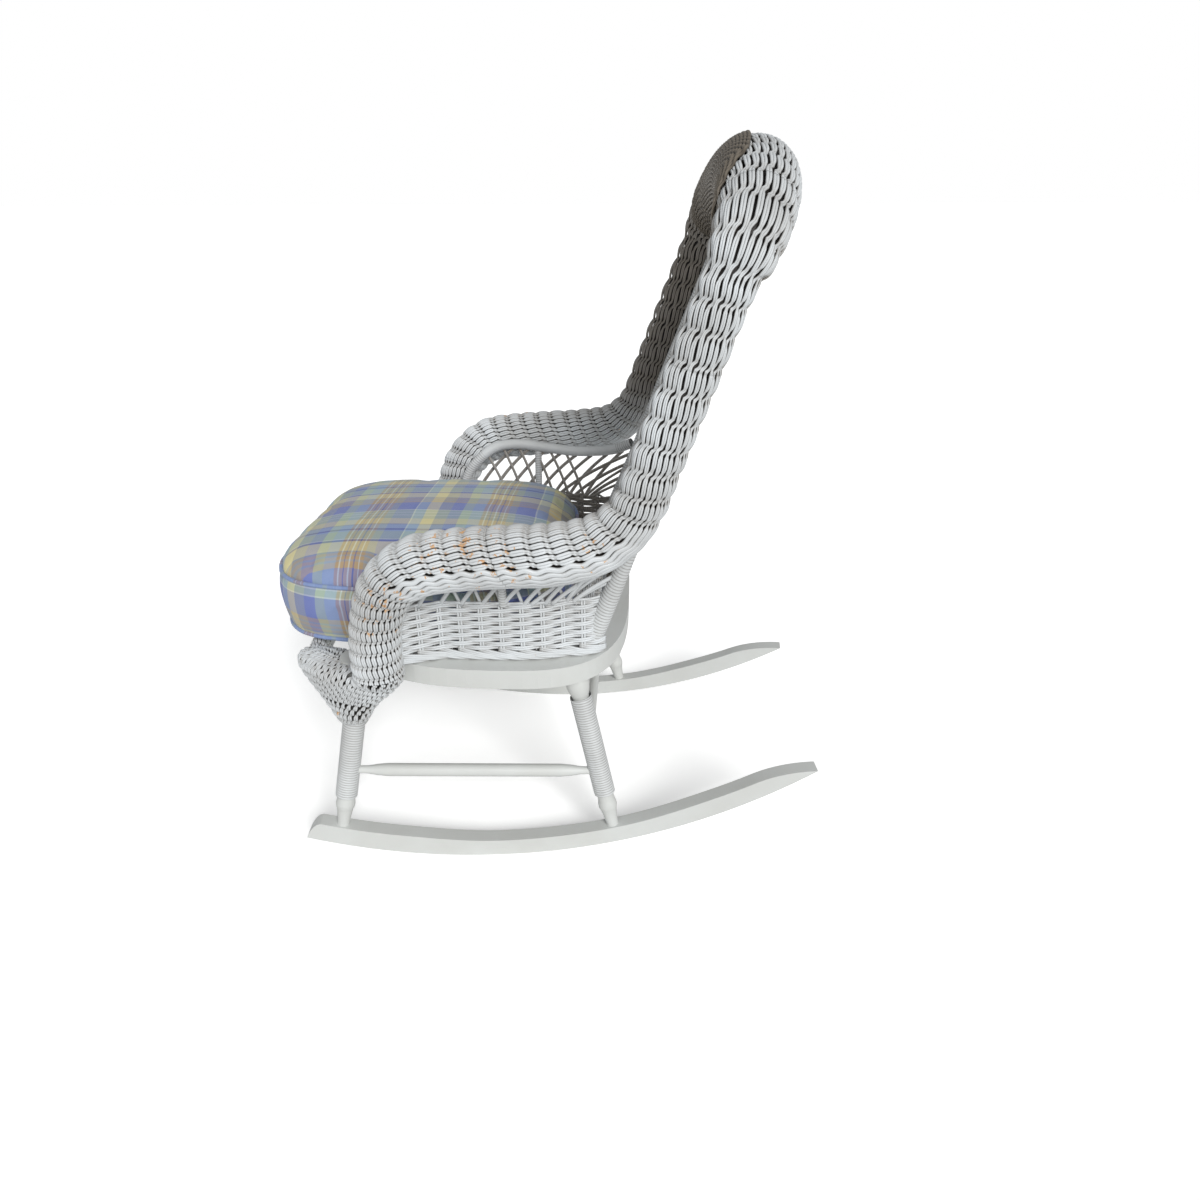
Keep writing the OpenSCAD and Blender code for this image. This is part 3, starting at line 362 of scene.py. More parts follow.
def add_node(tree, kind, inputs=None, **settings):
    """Adds a node with its settings and links."""
    made = tree.nodes.new(kind)
    for key, value in settings.items():
        setattr(made, key, value)
    for key, value in (inputs or {}).items():
        if isinstance(value, bpy.types.NodeSocket):
            tree.links.new(value, made.inputs[key])
        else:
            made.inputs[key].default_value = value
    return made


def new_material(name):
    material = bpy.data.materials.new(name)
    material.use_nodes = True
    tree = material.node_tree
    tree.nodes.clear()
    return material, tree


def finish_material(tree, **inputs):
    shader = add_node(tree, "ShaderNodeBsdfPrincipled", {k.replace("_", " "): v for k, v in inputs.items()})
    add_node(tree, "ShaderNodeOutputMaterial", {"Surface": shader.outputs[0]})


def attribute(tree, name, output="Fac"):
    return add_node(tree, "ShaderNodeAttribute", attribute_name=name).outputs[output]


def maths(tree, operation, *values):
    return add_node(tree, "ShaderNodeMath", dict(enumerate(values)), operation=operation).outputs[0]


def noise(tree, place, scale, detail, roughness=0.5):
    """Cloudy noise with features 1 / scale metres across."""
    return add_node(tree, "ShaderNodeTexNoise", {"Vector": place, "Scale": scale, "Detail": detail,
                                                 "Roughness": roughness}).outputs[0]


def remap(tree, value, low, high, to_low=0.0, to_high=1.0):
    """The value's range from low to high, carried over to another range and cut off there."""
    names = ("Value", "From Min", "From Max", "To Min", "To Max")
    return add_node(tree, "ShaderNodeMapRange",
                    dict(zip(names, (value, low, high, to_low, to_high)))).outputs[0]


def blend(tree, share, first, second):
    """From the first colour to the second, by share."""
    return add_node(tree, "ShaderNodeMix", {0: share, 6: first, 7: second}, data_type="RGBA").outputs[2]


def bump(tree, height, strength, distance, **over):
    return add_node(tree, "ShaderNodeBump",
                    {"Height": height, "Strength": strength, "Distance": distance, **over}).outputs[0]


# How much wear adds to the chips, and how soft their edges are
WEAR_CHIPS, CHIP_EDGE = 0.17, 0.025


def brushed_paint(name, paint, shade, bare, chip_limit, deep=True):
    """Satin oil paint brushed over reed or wood: pale, darkened in the hollows by painted shade and dust,
    chipped to the bare reed.
    """
    material, tree = new_material(name)
    place = add_node(tree, "ShaderNodeTexCoord").outputs["Object"]
    # Slow changes of tone, about 80 mm across, where the brush left more or less paint
    slow = noise(tree, place, 12.0, 3.0)
    # Brush marks and grit of the old paint, about 2 mm across
    fine = noise(tree, place, 450.0, 3.0)
    # Flaked places, about 11 mm across
    flake = noise(tree, place, 90.0, 5.0, 0.65)
    base = blend(tree, remap(tree, slow, 0.3, 0.7, 0.0, 0.3), colour(paint), colour(shade))
    if deep:
        # Painted shade and dust: towards the shade colour where a point lies deep in the weave
        hollow_shade_and_dust = remap(tree, attribute(tree, "depth"), 0.05, 0.85, 0.85, 0.0)
        base = blend(tree, hollow_shade_and_dust, base, colour(shade))
    level = maths(tree, "ADD", flake, maths(tree, "MULTIPLY", attribute(tree, "wear"), WEAR_CHIPS))
    chip = remap(tree, level, chip_limit, chip_limit + CHIP_EDGE)
    relief = maths(tree, "SUBTRACT", fine, chip)
    finish_material(tree, Base_Color=blend(tree, chip, base, colour(bare)), Roughness=0.48,
                    Normal=bump(tree, relief, 0.25, 0.0006))
    return material


woven_paint = brushed_paint("painted_reed", "#DDE1E3", "#6B5D4A", "#CDA57C", 0.745)
# A darker, dirtier copy of the paint with painted shade in it, for the back panel, the slit bars and the head
shaded_paint = brushed_paint("shaded_reed", "#7C7366", "#4A4238", "#7C6046", 0.80)
bound_paint = brushed_paint("painted_cane", "#DADDDD", "#77706A", "#C79A68", 0.80)
wood_paint = brushed_paint("painted_beech", "#D3D5D2", "#BDBCB5", "#B98B5E", 0.80, deep=False)
# Near-black paint for the skins inside the weave, which stand in for the shade there: painted shade
inside_shade_paint = brushed_paint("shaded_inside_of_weave", "#2B2622", "#171412", "#4A3B2E", 0.80, deep=False)


# ---- weaving ----
# A rod's distance from the middle of its pair, as a share of the distance between rows
ROD_SHARE = 0.235


def turned_out(normal, outward):
    """The normals, all turned round if they mostly point away from outward."""
    return -normal if (normal * outward).sum() < 0 else normal


def surface_frame(grid, closed=False):
    """Normals, sideways directions and row spacing of a grid of rows; the rows run along axis 1."""
    along = unit(np.gradient(grid, axis=1))
    over = (np.roll(grid, -1, axis=0) - np.roll(grid, 1, axis=0)) / 2 if closed else np.gradient(grid, axis=0)
    normal = unit(np.cross(along, over))
    if closed:
        normal = turned_out(normal, grid - grid.mean(axis=0, keepdims=True))
    return normal, np.cross(normal, along), np.linalg.norm(over, axis=-1)


def paired_rows(bundle, grid, normal, side, pitch, lift, depth, share=ROD_SHARE, thick=ROD_SHARE * 1.04):
    """Rows of doubled rods that lie this far in front of the grid at each of its points."""
    for rod in (-1, 1):
        apart = side * np.asarray(rod * pitch * share)[..., None]
        bundle.rods(grid + normal * lift[..., None] + apart, normal, pitch * thick, depth)


def bound_rod(path, radius, pitch=4.3, ridge=0.7, sides=18, first=(1, 0, 0)):
    """Rings for a rod bound in cane, as a fine helical ridge, and how open each point lies, which sets the
    painted shade in the grooves.
    """
    line, runs = spread(path, pitch / 6)
    across = carried(line, first)
    other = np.cross(tangents(line), across)
    turn = around(sides)
    size, ridges = (np.interp(runs, runs_along(path), np.broadcast_to(value, (len(path),)))[:, None]
                    for value in (radius, ridge))
    swell = np.abs(np.sin(math.pi * (runs[:, None] / pitch + turn / (2 * math.pi)))) ** 0.6
    size = size + ridges * (swell - 1)
    grid = line[:, None] + size[..., None] * (np.cos(turn)[:, None] * across[:, None]
                                              + np.sin(turn)[:, None] * other[:, None])
    return grid, 1 - (1 - swell) * np.minimum(ridges / 0.5, 1)


# The roll, one weave from a front leg over arm, back and crest to the other front leg
ROLL_ROWS = 30
RIB_PARTS = 12
ROD_R = 1.8
# The height where the painted shade begins on the roll, how much higher it is full, and the back's middle
SHADE_H, SHADE_RUN = 540, 120
BACK_MIDDLE_LEN = 380
row_turn = around(ROLL_ROWS)
roll_ribs = np.arange(int(RIB_TOTAL * RIB_PARTS) + 1) / RIB_PARTS
roll_places = place_along(roll_ribs)
# How far the rods rise and fall over the ribs: less on the arm, more up the back
from_foot = np.minimum(roll_places, HALF_PLACES * 2 - roll_places)
roll_lift = np.interp(from_foot, (0, 2, 8, 11, 18), (1.3, 1.5, 1.5, 2.1, 1.9))
roll_grid = roll_surface(roll_ribs, row_turn, roll_lift + ROD_R)

rows = roll_grid.transpose(1, 0, 2)

# Along the arm's lower outer edge thick single rods lie side by side over the ribs
BAND_LOW, BAND_HIGH = math.radians(8), math.radians(84)
BAND_START, BAND_END = 3.1, 8.9


def band_share(places, turns):
    """How much of the plain band there is, by place along the roll and angle round it."""
    along = ease((places - BAND_START) / 0.5) * ease((BAND_END - places) / 0.5)
    return along[None] * ((turns > BAND_LOW) & (turns < BAND_HIGH))[:, None]


def facing(sample):
    """Where each row faces at a ring on an arm: 0 is outwards and a quarter turn is down."""
    away = roll_grid[sample] - roll_grid[sample].mean(axis=0)
    return np.arctan2(-away[:, 2], away[:, 0] * np.sign(roll_grid[sample, :, 0].mean()))


# Where a slit opens between two ribs and how far it reaches, as shares of the way from rib to rib
SLIT_AT, SLIT_REACH = 0.37, 0.085
# Millimetres by which a stitch tips over a rib, and by which the plain band's rods sway
STITCH_TIP = 1.2
BAND_SWAY = 1.9
# Distances and radii of the rods as shares of the row spacing: close pairs, open pairs, plain band
SHARES = (ROD_SHARE, 0.2, 0.1)
THICKS = (0.252, 0.212, 0.36)


def brick_rows(bundle, grid, normal, side, pitch, q, lift, band=0.0, slant=1.5, slits=1.0, unshaded=1.0,
               gaps=0.0):
    """Rows of doubled rods, twisted between the ribs, with a slit at both ends of each long stitch."""
    q = np.broadcast_to(q, pitch.shape)
    off = q - np.round(q)
    w = np.abs(np.cos(math.pi * q))
    slit = np.exp(-((np.abs(off) - SLIT_AT) / SLIT_REACH) ** 2) * (1 - band) * slits
    height = lift * (2 * w ** 0.8 - 1) + STITCH_TIP * off * w ** 0.2
    height = mix(height, lift + 0.2, band)
    sideways = slant * np.sin(math.pi * off) * w ** 0.3 * (1 - band)
    sideways = sideways + band * BAND_SWAY * np.cos(2 * math.pi * q)
    thick = mix(mix(THICKS[0], THICKS[1], gaps) - 0.025 * slit, THICKS[2], band)
    # Painted shade: darker where the rods dip down, and darker still at the slits, by the unshaded share
    depth = unshaded * mix(1 - 0.12 * (1 - w) - 0.3 * slit, 0.9 + 0.1 * w, band)
    for rod in (-1, 1):
        apart = rod * pitch * mix(mix(SHARES[0], SHARES[1], gaps) * (1 - 0.6 * slit), SHARES[2], band)
        # At a slit one rod of the pair slips under the other
        stacked = rod * slit * pitch * 0.12 - slit * pitch * 0.1
        lines = grid + normal * (height + stacked)[..., None] + side * (sideways + apart)[..., None]
        bundle.rods(lines, normal, pitch * thick, depth)


mid_arm = int(np.searchsorted(roll_places, 6))
faces = {"left": facing(mid_arm), "right": facing(-1 - mid_arm)}
arm_cut = int(ribs_before[ARM_PLACES] * RIB_PARTS)
total = rows.shape[1]
back_cuts = np.linspace(arm_cut, total - 1 - arm_cut, 7).astype(int)
arm_parts = np.linspace(0, arm_cut, 4).astype(int)
cuts = [(arm_parts[i], arm_parts[i + 1], "left") for i in range(3)]
cuts += [(back_cuts[i], back_cuts[i + 1], "back") for i in range(6)]
cuts += [(total - 1 - end, total - 1 - start, "right") for start, end, _ in reversed(cuts[:3])]
NODE_OF = {"left": "arm_roll_left", "right": "arm_roll_right", "back": "back_roll"}
for number, (start, end, where) in enumerate(cuts):
    # A wider cut gives true directions at the ends
    wide = slice(max(start - 2, 0), min(end + 3, total))
    normal, side, pitch = surface_frame(rows[:, wide], True)
    inner = slice(start - wide.start, end + 1 - wide.start)
    part = slice(start, end + 1)
    band = band_share(from_foot[part], faces[where]) if where != "back" else 0.0
    bundle = Bundle()
    # Up the back the pairs of rods lie further apart, slant more and wander a little along the roll
    up_back = ease((from_foot[part] - 8) / 3)
    # Painted shade darkens the side that faces the middle of the back
    place, faced = rows[:, part], normal[:, inner]
    from_middle = place - on_back(0, BACK_MIDDLE_LEN)
    from_middle = unit(from_middle - (from_middle @ BACK_FORWARD)[..., None] * BACK_FORWARD)
    back_facing_shade = ease((0.35 - (faced * from_middle).sum(axis=-1)) / 0.6)
    back_facing_shade = back_facing_shade * ease((place[..., 2] - SHADE_H) / SHADE_RUN)
    wander = 0.1 * np.sin(2.4 * np.arange(ROLL_ROWS))[:, None] * up_back
    brick_rows(bundle, place, faced, side[:, inner], pitch[:, inner], roll_ribs[part] + wander,
               roll_lift[part], band, slant=1.5 + 0.8 * up_back, slits=1 - 0.3 * up_back,
               unshaded=1 - 0.85 * back_facing_shade, gaps=0.35 + 0.65 * up_back)
    bundle.make(f"roll_weave_{number}", woven_paint, NODE_OF[where])


def shade_inside(name, rings):
    """A dark skin of painted shade inside a weave, which closes the view through it."""
    bundle = Bundle()
    bundle.skin(rings)
    bundle.make(name, inside_shade_paint)


middle_line = roll_grid.mean(axis=1, keepdims=True)
shade_inside("roll_inside", (middle_line + (roll_grid - middle_line) * 0.84)[::6])

# Back bow beside the roll, arm rails and the rails across the back
roll_last = len(roll_coarse) - 1
bow_first = math.ceil(ribs_before[SIDE_COUNT - 2]) * 2


def bow_beside(i):
    """The bow's place beside one of the roll's rings."""
    p = roll_coarse[i, :3]
    touch = roll_coarse[i, 3] + BOW_R + GAP * 4
    back = BOW_SET_BACK - (on_back(0, 0) - p) @ BACK_FORWARD
    across = roll_coarse_across[i] - BACK_FORWARD * (roll_coarse_across[i] @ BACK_FORWARD)
    return p - unit(across) * math.sqrt(touch ** 2 - back ** 2) - BACK_FORWARD * back


bow_foot = on_back(BOW_FOOT_X, BOW_SET_BACK * math.tan(RECLINE), -BOW_SET_BACK)
bow_low = [mix(bow_foot, bow_beside(bow_first), share) for share in (0, 0.25, 0.5, 0.75)]
bow_points = np.array(bow_low + [bow_beside(i) for i in range(bow_first, roll_last - bow_first + 1)]
                      + [p * [-1, 1, 1] for p in reversed(bow_low)])
bow_line = spline(bow_points, 4)
bow_top = len(bow_line) // 2
bow_s = (bow_line[:, 2] - on_back(0, 0, -BOW_SET_BACK)[2]) / math.cos(RECLINE)


def clear_half(s):
    """Half the clear width between the bow's sides at a length along the back."""
    return float(np.interp(s, bow_s[:bow_top], bow_line[:bow_top, 0])) - BOW_R - GAP


def in_bow(x, s, arch, half):
    """A place between the bow's sides, raised by a share of an arch that is this wide."""
    return on_back(x, s + RAIL_RISE * (1 - (x / half) ** 2) * arch, -BOW_SET_BACK)


def bow_at(h):
    """The bow's place on the left at this height."""
    return read_off(h, bow_line[:bow_top, 2], bow_line[:bow_top])


arm_rail_x = ARM_ROLL_X - ARM_ROLL_R - GAP - ARM_RAIL_R
rail_meet = bow_at(ARM_H + arm_rise * 0.03)
rail_back_run = rail_meet[1] - BOW_R - ARM_RAIL_R
rail_end = rail_meet - unit(np.array([rail_meet[0] - arm_rail_x, rail_meet[1] - ARM_FOOT_Y, 0])) * (BOW_R + 3)
# x, share of the foot's distance from the middle and share of the arm's rise
rail_route = [
    (ARM_FOOT_X, -1, 0), (ARM_FOOT_X, -1, 0.35), (mix(ARM_FOOT_X, arm_rail_x, 0.05), -0.96, 0.6),
    (mix(ARM_FOOT_X, arm_rail_x, 0.2), -0.8, 0.78), (mix(ARM_FOOT_X, arm_rail_x, 0.85), -0.48, 0.94),
    (arm_rail_x, -0.1, 0.98), (arm_rail_x, 0.4, 0.94), (arm_rail_x - GAP, 0.85, 0.91)]
rail_points = [(x, ARM_FOOT_Y * run, SEAT_H + arm_rise * rise) for x, run, rise in rail_route]
rail_points += [(mix(arm_rail_x, rail_meet[0], 0.3), mix(ARM_FOOT_Y, rail_back_run, 0.6),
                 ARM_H - arm_rise * 0.06), tuple(rail_end)]
RAIL_PARTS = 8
rail_line = spline(rail_points, RAIL_PARTS)
SIDES = (("left", 1), ("right", -1))


def bound_piece(name, node, path, radius, side=1, **binding):
    """A rod bound in cane in the place of a solid, mirrored for side -1."""
    grid, depth = bound_rod(path, radius, **binding)
    if side < 0:
        # The rings run the other way round, so that the skin still faces out
        grid, depth = (grid * [-1, 1, 1])[:, ::-1], depth[:, ::-1]
    bundle = Bundle()
    bundle.skin(grid, depth)
    bundle.make(name, bound_paint, node, slot="bound_cane")


# The bow's feet are bound again and again, so they are thicker up to the arms
FOOT_SWELL = 6.5
SWELL_TOP_H, SWELL_RUN = 560, 190
bow_size = BOW_R + 0.3 + FOOT_SWELL * ease((SWELL_TOP_H - bow_line[:, 2]) / SWELL_RUN)
bound_piece("back_bow_binding", "back_bow", bow_line, bow_size, pitch=5.2, ridge=0.9)
# The arm rails are bound up the front and at the rear end, and nearly smooth along the arm
run = np.linspace(0, 1, len(rail_line))
ridge = 0.05 + 0.75 * (1 - ease((run - 0.36) / 0.05)) + 0.75 * ease((run - 0.9) / 0.03)
for where, side in SIDES:
    bound_piece(f"arm_rail_binding_{where}", f"arm_rail_{where}", rail_line, ARM_RAIL_R + 0.2, side,
                ridge=ridge)
for name, s, arch in (("bottom_rail", BOTTOM_RAIL_LEN, 0), ("middle_rail", MIDDLE_RAIL_LEN, 1),
                      ("top_rail", TOP_RAIL_LEN, 1)):
    half = clear_half(s)
    path = np.array([in_bow(x, s, arch, half) for x in np.linspace(-half, half, 41)])
    bound_piece(name + "_binding", name, path, RAIL_R, first=UPWARDS)

# Back panel: rows of doubled rods, straight at the foot and arched under the middle rail
PANEL_PITCH = 7.2
PANEL_LIFT = 2.6
PANEL_STAKE_R = 2.3
PANEL_SAMPLES = 90
LADDER_W = 26.0
STAKE_GAP = 29.4
# The length over which the arch of the stakes and bars grows to its full rise
ARCH_RUN = 380.0
panel_low = BOTTOM_RAIL_LEN + RAIL_R + 3
panel_high = MIDDLE_RAIL_LEN - RAIL_R - 3
panel_rows = int((panel_high - panel_low) / PANEL_PITCH)
grid = []
for j in range(panel_rows + 1):
    share = j / panel_rows
    s = mix(panel_low, panel_high, share)
    half = clear_half(s)
    grid.append([in_bow(x, s, ease(share * 1.1 - 0.1), half)
                 for x in np.linspace(LADDER_W - half, half - LADDER_W, PANEL_SAMPLES)])
grid = np.array(grid)
widest = clear_half(panel_high) - LADDER_W
bundle = Bundle()
normal, side_way, pitch = surface_frame(grid)
normal = turned_out(normal, BACK_FORWARD)
up = np.cos(math.pi * (grid[..., 0] / STAKE_GAP + np.arange(len(grid))[:, None]))
paired_rows(bundle, grid, normal, side_way, pitch, up * PANEL_LIFT, (np.abs(up) + 1) / 2)
for x in np.arange(-6, 7) * STAKE_GAP:
    bundle.rod(np.array([in_bow(x, s, ease((s - panel_low) / ARCH_RUN) * (abs(x) < widest), widest)
                         for s in np.linspace(panel_low - 4, panel_high + 4, 50)]), BACK_FORWARD,
               PANEL_STAKE_R, 0.5)
bundle.make("back_panel_weave", shaded_paint, "back_panel")

# Slits beside the panel: bunches of four rods reach from the panel's edge to the bow
SLIT_GAP = 22.0
SLIT_ROD_R = 1.9
mid = np.sin(np.linspace(0, math.pi, 9))
for where, side in SIDES:
    bundle = Bundle(side)
    for s in np.arange(panel_low + 11, MIDDLE_RAIL_LEN - 6, SLIT_GAP):
        half = clear_half(s)
        arch = ease((s - panel_low) / ARCH_RUN)
        xs = np.linspace(half - LADDER_W - 5, half + 2, len(mid))
        for j in (-1.5, -0.5, 0.5, 1.5):
            bundle.rod(np.array([in_bow(x, s + j * (3.7 - 0.5 * m), arch, half) for x, m in zip(xs, mid)]),
                       BACK_FORWARD, SLIT_ROD_R, 0.6)
    bundle.make(f"slit_bars_{where}", shaded_paint, f"ladder_{where}")

# Head: a fine close weave over the front of the crest, from its top edge down to the top rail
HEAD_END = 13.9
HEAD_ROWS = 30
HEAD_STAKE_GAP = 9.5
HEAD_LIFT = 1.1
# Where the head's upper edge lies round the crest, in degrees, by places from the crest's middle
EDGE_PLACES, EDGE_TURNS = (0, 2.2, 3.4, 4.1), (58, 48, 0, -45)
head_places = np.linspace(HEAD_END, HALF_PLACES * 2 - HEAD_END, 260)
crest_line = roll_at(np.interp(head_places, np.arange(len(ribs_before)), ribs_before))
crest_line, crest_run = spread(np.column_stack([crest_line, head_places]), 3.6)
crest_t = tangents(crest_line)
crest_front = unit(BACK_FORWARD - crest_t * (crest_t @ BACK_FORWARD)[:, None])
crest_out = turned_out(np.cross(crest_t, crest_front), UPWARDS)
from_top = np.abs(crest_line[:, 4] - HALF_PLACES)
upper_turn = np.radians(np.interp(from_top, EDGE_PLACES, EDGE_TURNS))
lower_turn = math.radians(-105)
grid = []
for j in range(HEAD_ROWS + 1):
    share = j / HEAD_ROWS
    turn = mix(upper_turn, lower_turn, share)
    r = crest_line[:, 3] + 1.6 - 5 * ease((share - 0.85) / 0.15)
    grid.append(crest_line[:, :3] + crest_front * (np.cos(turn) * r)[:, None]
                + crest_out * (np.sin(turn) * r)[:, None])
grid = np.array(grid)
normal, _, pitch = surface_frame(grid)
normal = turned_out(normal, BACK_FORWARD)
up = np.cos(math.pi * (crest_run / HEAD_STAKE_GAP + np.arange(len(grid))[:, None]))
bundle = Bundle()
bundle.rods(grid + normal * (up * HEAD_LIFT)[..., None], normal, pitch * 0.5, depth=(up + 1) / 2)
bundle.make("head_weave", shaded_paint, "head_panel")

# Side skirts on the seat hoop, with the twisted border at their foot
POST_Y = 25.0
POST_BOUND_R = 6.4
SKIRT_ROWS = 11
SKIRT_LIFT = 1.9
SKIRT_DEPTH = 4
SKIRT_STAKE_R = 1.8
TOP_ROD_R = 2.1
BORDER_ROD_R = 1.9
# How many stakes a rod of the border passes from its upper to its lower end
BORDER_LEAN = 2.5
REED_R = 1.5
# How far the outer and the inner reeds bow outwards
OUTER_BOW, INNER_BOW = 4.2, -3.2
# How far back or to the front a reed reaches between the skirt and the arm rail
REED_RUN_BACK, REED_RUN_FRONT = 72, 34


def seat_half_w(y, half_w, front_len, rear_len):
    """Half the width of the seat's rounded outline at a place from front to back."""
    run, power = (front_len, 2.5) if y < SEAT_MID_Y else (rear_len, 3.2)
    return half_w * (1 - (abs(y - SEAT_MID_Y) / run) ** power) ** (1 / power)


def skirt_point(y):
    half = seat_half_w(y, SEAT_HALF_W - SKIRT_INSET_SIDE - SKIRT_DEPTH, SKIRT_FRONT_LEN - SKIRT_DEPTH,
                       SEAT_REAR_LEN - SKIRT_INSET_BACK - SKIRT_DEPTH)
    return np.array([half, y, 0])


skirt_mid = [skirt_point(y) for y in np.linspace(-64, 112, 24)]
# In front the weave turns out to the roll's foot, and behind it wraps round the bow's foot
skirt_front = [(266, -123, 0), (259, -111, 0), (251, -95, 0), (246, -80, 0)]
skirt_back = [(225, 133, 0), (221, 147, 0), (214, 158, 0), (205, 166, 0)]
skirt_line, skirt_run = spread(spline(skirt_front + skirt_mid + skirt_back, 4), 3.0)
skirt_out = turned_out(unit(np.cross(tangents(skirt_line), UPWARDS)), [1, 0, 0])
rail_top = rail_line[RAIL_PARTS * 3:]


def under_rail(y):
    """The place just inside the arm rail's underside at a place from front to back."""
    return read_off(y, rail_top[:, 1], rail_top) - [0, 0, ARM_RAIL_R - 1]


def on_skirt(run):
    """Place and outward direction on the skirt at distances along it."""
    return [read_off(run, skirt_run, line) for line in (skirt_line, skirt_out)]


def run_at(y):
    """Distance along the skirt at which it passes this y, along the side."""
    near = slice(8, int(len(skirt_line) * 0.85))
    return float(np.interp(y, skirt_line[near, 1], skirt_run[near]))


first_stake = run_at(-ARM_FOOT_Y + ARM_RAIL_R + STAKE_GAP / 2) % STAKE_GAP
stake_runs = np.arange(first_stake, skirt_run[-1] - 4, STAKE_GAP)
reed_ys = np.arange(-ARM_FOOT_Y + ARM_RAIL_R + GAP + STAKE_GAP / 2, 124, STAKE_GAP)
skirt_zs = SEAT_H + 17 + (SKIRT_H - 20) * (np.arange(SKIRT_ROWS) + 0.5) / SKIRT_ROWS
stake_zs = np.linspace(SEAT_H + 1, SEAT_H + SKIRT_H - 2, 6)
for where, side in SIDES:
    bundle = Bundle(side)
    grid = np.array([skirt_line + [0, 0, z] for z in skirt_zs])
    q = (skirt_run - first_stake) / STAKE_GAP + np.arange(len(grid))[:, None]
    grid[..., 2] += np.sin(math.pi * q) * 0.7
    up = np.cos(math.pi * q)
    up = np.sign(up) * np.abs(up) ** 0.75
    paired_rows(bundle, grid, skirt_out, UPWARDS, skirt_zs[1] - skirt_zs[0], up * SKIRT_LIFT,
                0.8 + 0.2 * up, share=0.25, thick=0.28)
    # A wavy rod closes the top edge
    wave = np.cos(2 * math.pi * q[0])
    top = skirt_line + skirt_out * (2.2 * wave)[:, None]
    top[:, 2] += SEAT_H + SKIRT_H - 1.5 + 1.3 * wave
    bundle.rod(top, skirt_out, TOP_ROD_R)
    # The border at the foot: three rods at a time lean down past two stakes
    for middle in np.arange(-0.6, len(stake_runs) + 0.6):
        for rod in (-1, 0, 1):
            share = np.linspace(0, 1, 24)
            run = first_stake + (middle - 0.6 + BORDER_LEAN * share) * STAKE_GAP
            keep = (run >= 0) & (run <= skirt_run[-1])
            if keep.sum() < 4:
                continue
            share = share[keep]
            line, out = on_skirt(run[keep])
            line += out * (3.2 * np.sin(math.pi * share) - 0.4)[:, None]
            height = mix(16.5, 2.6, share ** 0.8) + rod * 3.4 * (1 - share * 0.4)
            line[:, 2] = SEAT_H + np.maximum(height, 1.9)
            bundle.rod(line, out, BORDER_ROD_R, 0.5 + 0.5 * np.sin(math.pi * share))
    # Stakes, worked in pairs
    for run in stake_runs:
        for point, out in zip(*on_skirt(np.array([run - 1.9, run + 1.9]))):
            bundle.rod(np.array([[*point[:2], z] for z in stake_zs]), out, SKIRT_STAKE_R, 0.85)
    bundle.make(f"skirt_weave_{where}", woven_paint, f"skirt_{where}")

    # Flat reeds cross between the skirt and the arm rail, in an outer and an inner layer
    reeds = Bundle(side)
    ends = []
    for y in reed_ys:
        if y + REED_RUN_BACK < rail_back_run - 6:
            ends.append((y, under_rail(y + REED_RUN_BACK), OUTER_BOW))
        if -ARM_FOOT_Y * 0.74 < y - REED_RUN_FRONT:
            ends.append((y, under_rail(y - REED_RUN_FRONT), INNER_BOW))
    # Behind the rail's end the last reeds run up to the bow
    ends += [(y, bow_at(h), 3.0) for y, h in ((62, 524), (92, 506), (121, 482))]
    ends += [(y, bow_at(h), INNER_BOW) for y, h in ((112, 500), (128, 470))]
    for y, end, layer in ends:
        base = on_skirt(run_at(y))[0] + [0, 0, SEAT_H + SKIRT_H - 6]
        bend = mix(base, end, np.array([0.4, 0.32, 0.5]))
        t = np.linspace(0, 1, 14)[:, None]
        line = base * (1 - t) ** 2 + bend * (2 * t * (1 - t)) + end * t ** 2
        line[:, 0] += layer * np.sin(math.pi * t[:, 0]) ** 0.5
        reeds.rod(line, [1, 0, 0], REED_R, 0.95, squeeze=2.1 if layer > 0 else 1.7)
    reeds.make(f"lattice_reeds_{where}", woven_paint, f"lattice_{where}")
    low = skirt_point(POST_Y) + [0, 0, SEAT_H + SKIRT_H - 4]
    bound_piece(f"arm_post_binding_{where}", f"arm_post_{where}",
                mix(low, under_rail(POST_Y), np.linspace(0, 1, 9)[:, None]), POST_BOUND_R, side)

# Front apron: the roll of weave under the cushion's front, between the sleeves
APRON_ROWS = 14
APRON_RIB_GAP = 17.0
APRON_REACH = APRON_HALF_W + 14
apron_x = np.linspace(APRON_REACH, -APRON_REACH, 300)
grid = np.array([[(x, -APRON_Y + APRON_BOW * (x / APRON_HALF_W) ** 2 + (APRON_HALF_T - 3) * math.cos(f),
                   SEAT_H - APRON_HALF_H + (APRON_HALF_H - 3.2) * math.sin(f))
                  for x in apron_x] for f in around(APRON_ROWS)])
bundle = Bundle()
brick_rows(bundle, grid, *surface_frame(grid, True), (APRON_REACH - apron_x) / APRON_RIB_GAP, 1.3)
bundle.make("apron_weave", woven_paint, "front_apron")
mid = grid.mean(axis=0, keepdims=True)
shade_inside("apron_inside", (mid + (grid - mid) * 0.78).transpose(1, 0, 2)[::4, ::-1])

# Front sleeves: one weave that fans out from the leg to the roll's foot and the apron's end
sleeve_low = np.array([244.9, -207.8])
sleeve_front = np.array([APRON_HALF_W, -APRON_Y - APRON_HALF_T * 0.8])
sleeve_back = np.array([ARM_DROP_X + ARM_DROP_R * 0.3, -arm_front_run + ARM_DROP_R * 0.95])
sleeve_dir = unit(sleeve_back - sleeve_front)
sleeve_across = np.array([-sleeve_dir[1], sleeve_dir[0]])
sleeve_mid = (sleeve_front + sleeve_back) / 2
SLEEVE_HALF_LEN = float(np.linalg.norm(sleeve_back - sleeve_front)) / 2
SLEEVE_HALF_W = 41.0
SLEEVE_BELLY = 4.0
# The share of the sleeve's height at which its rows begin to close over
SHOULDER = 0.8
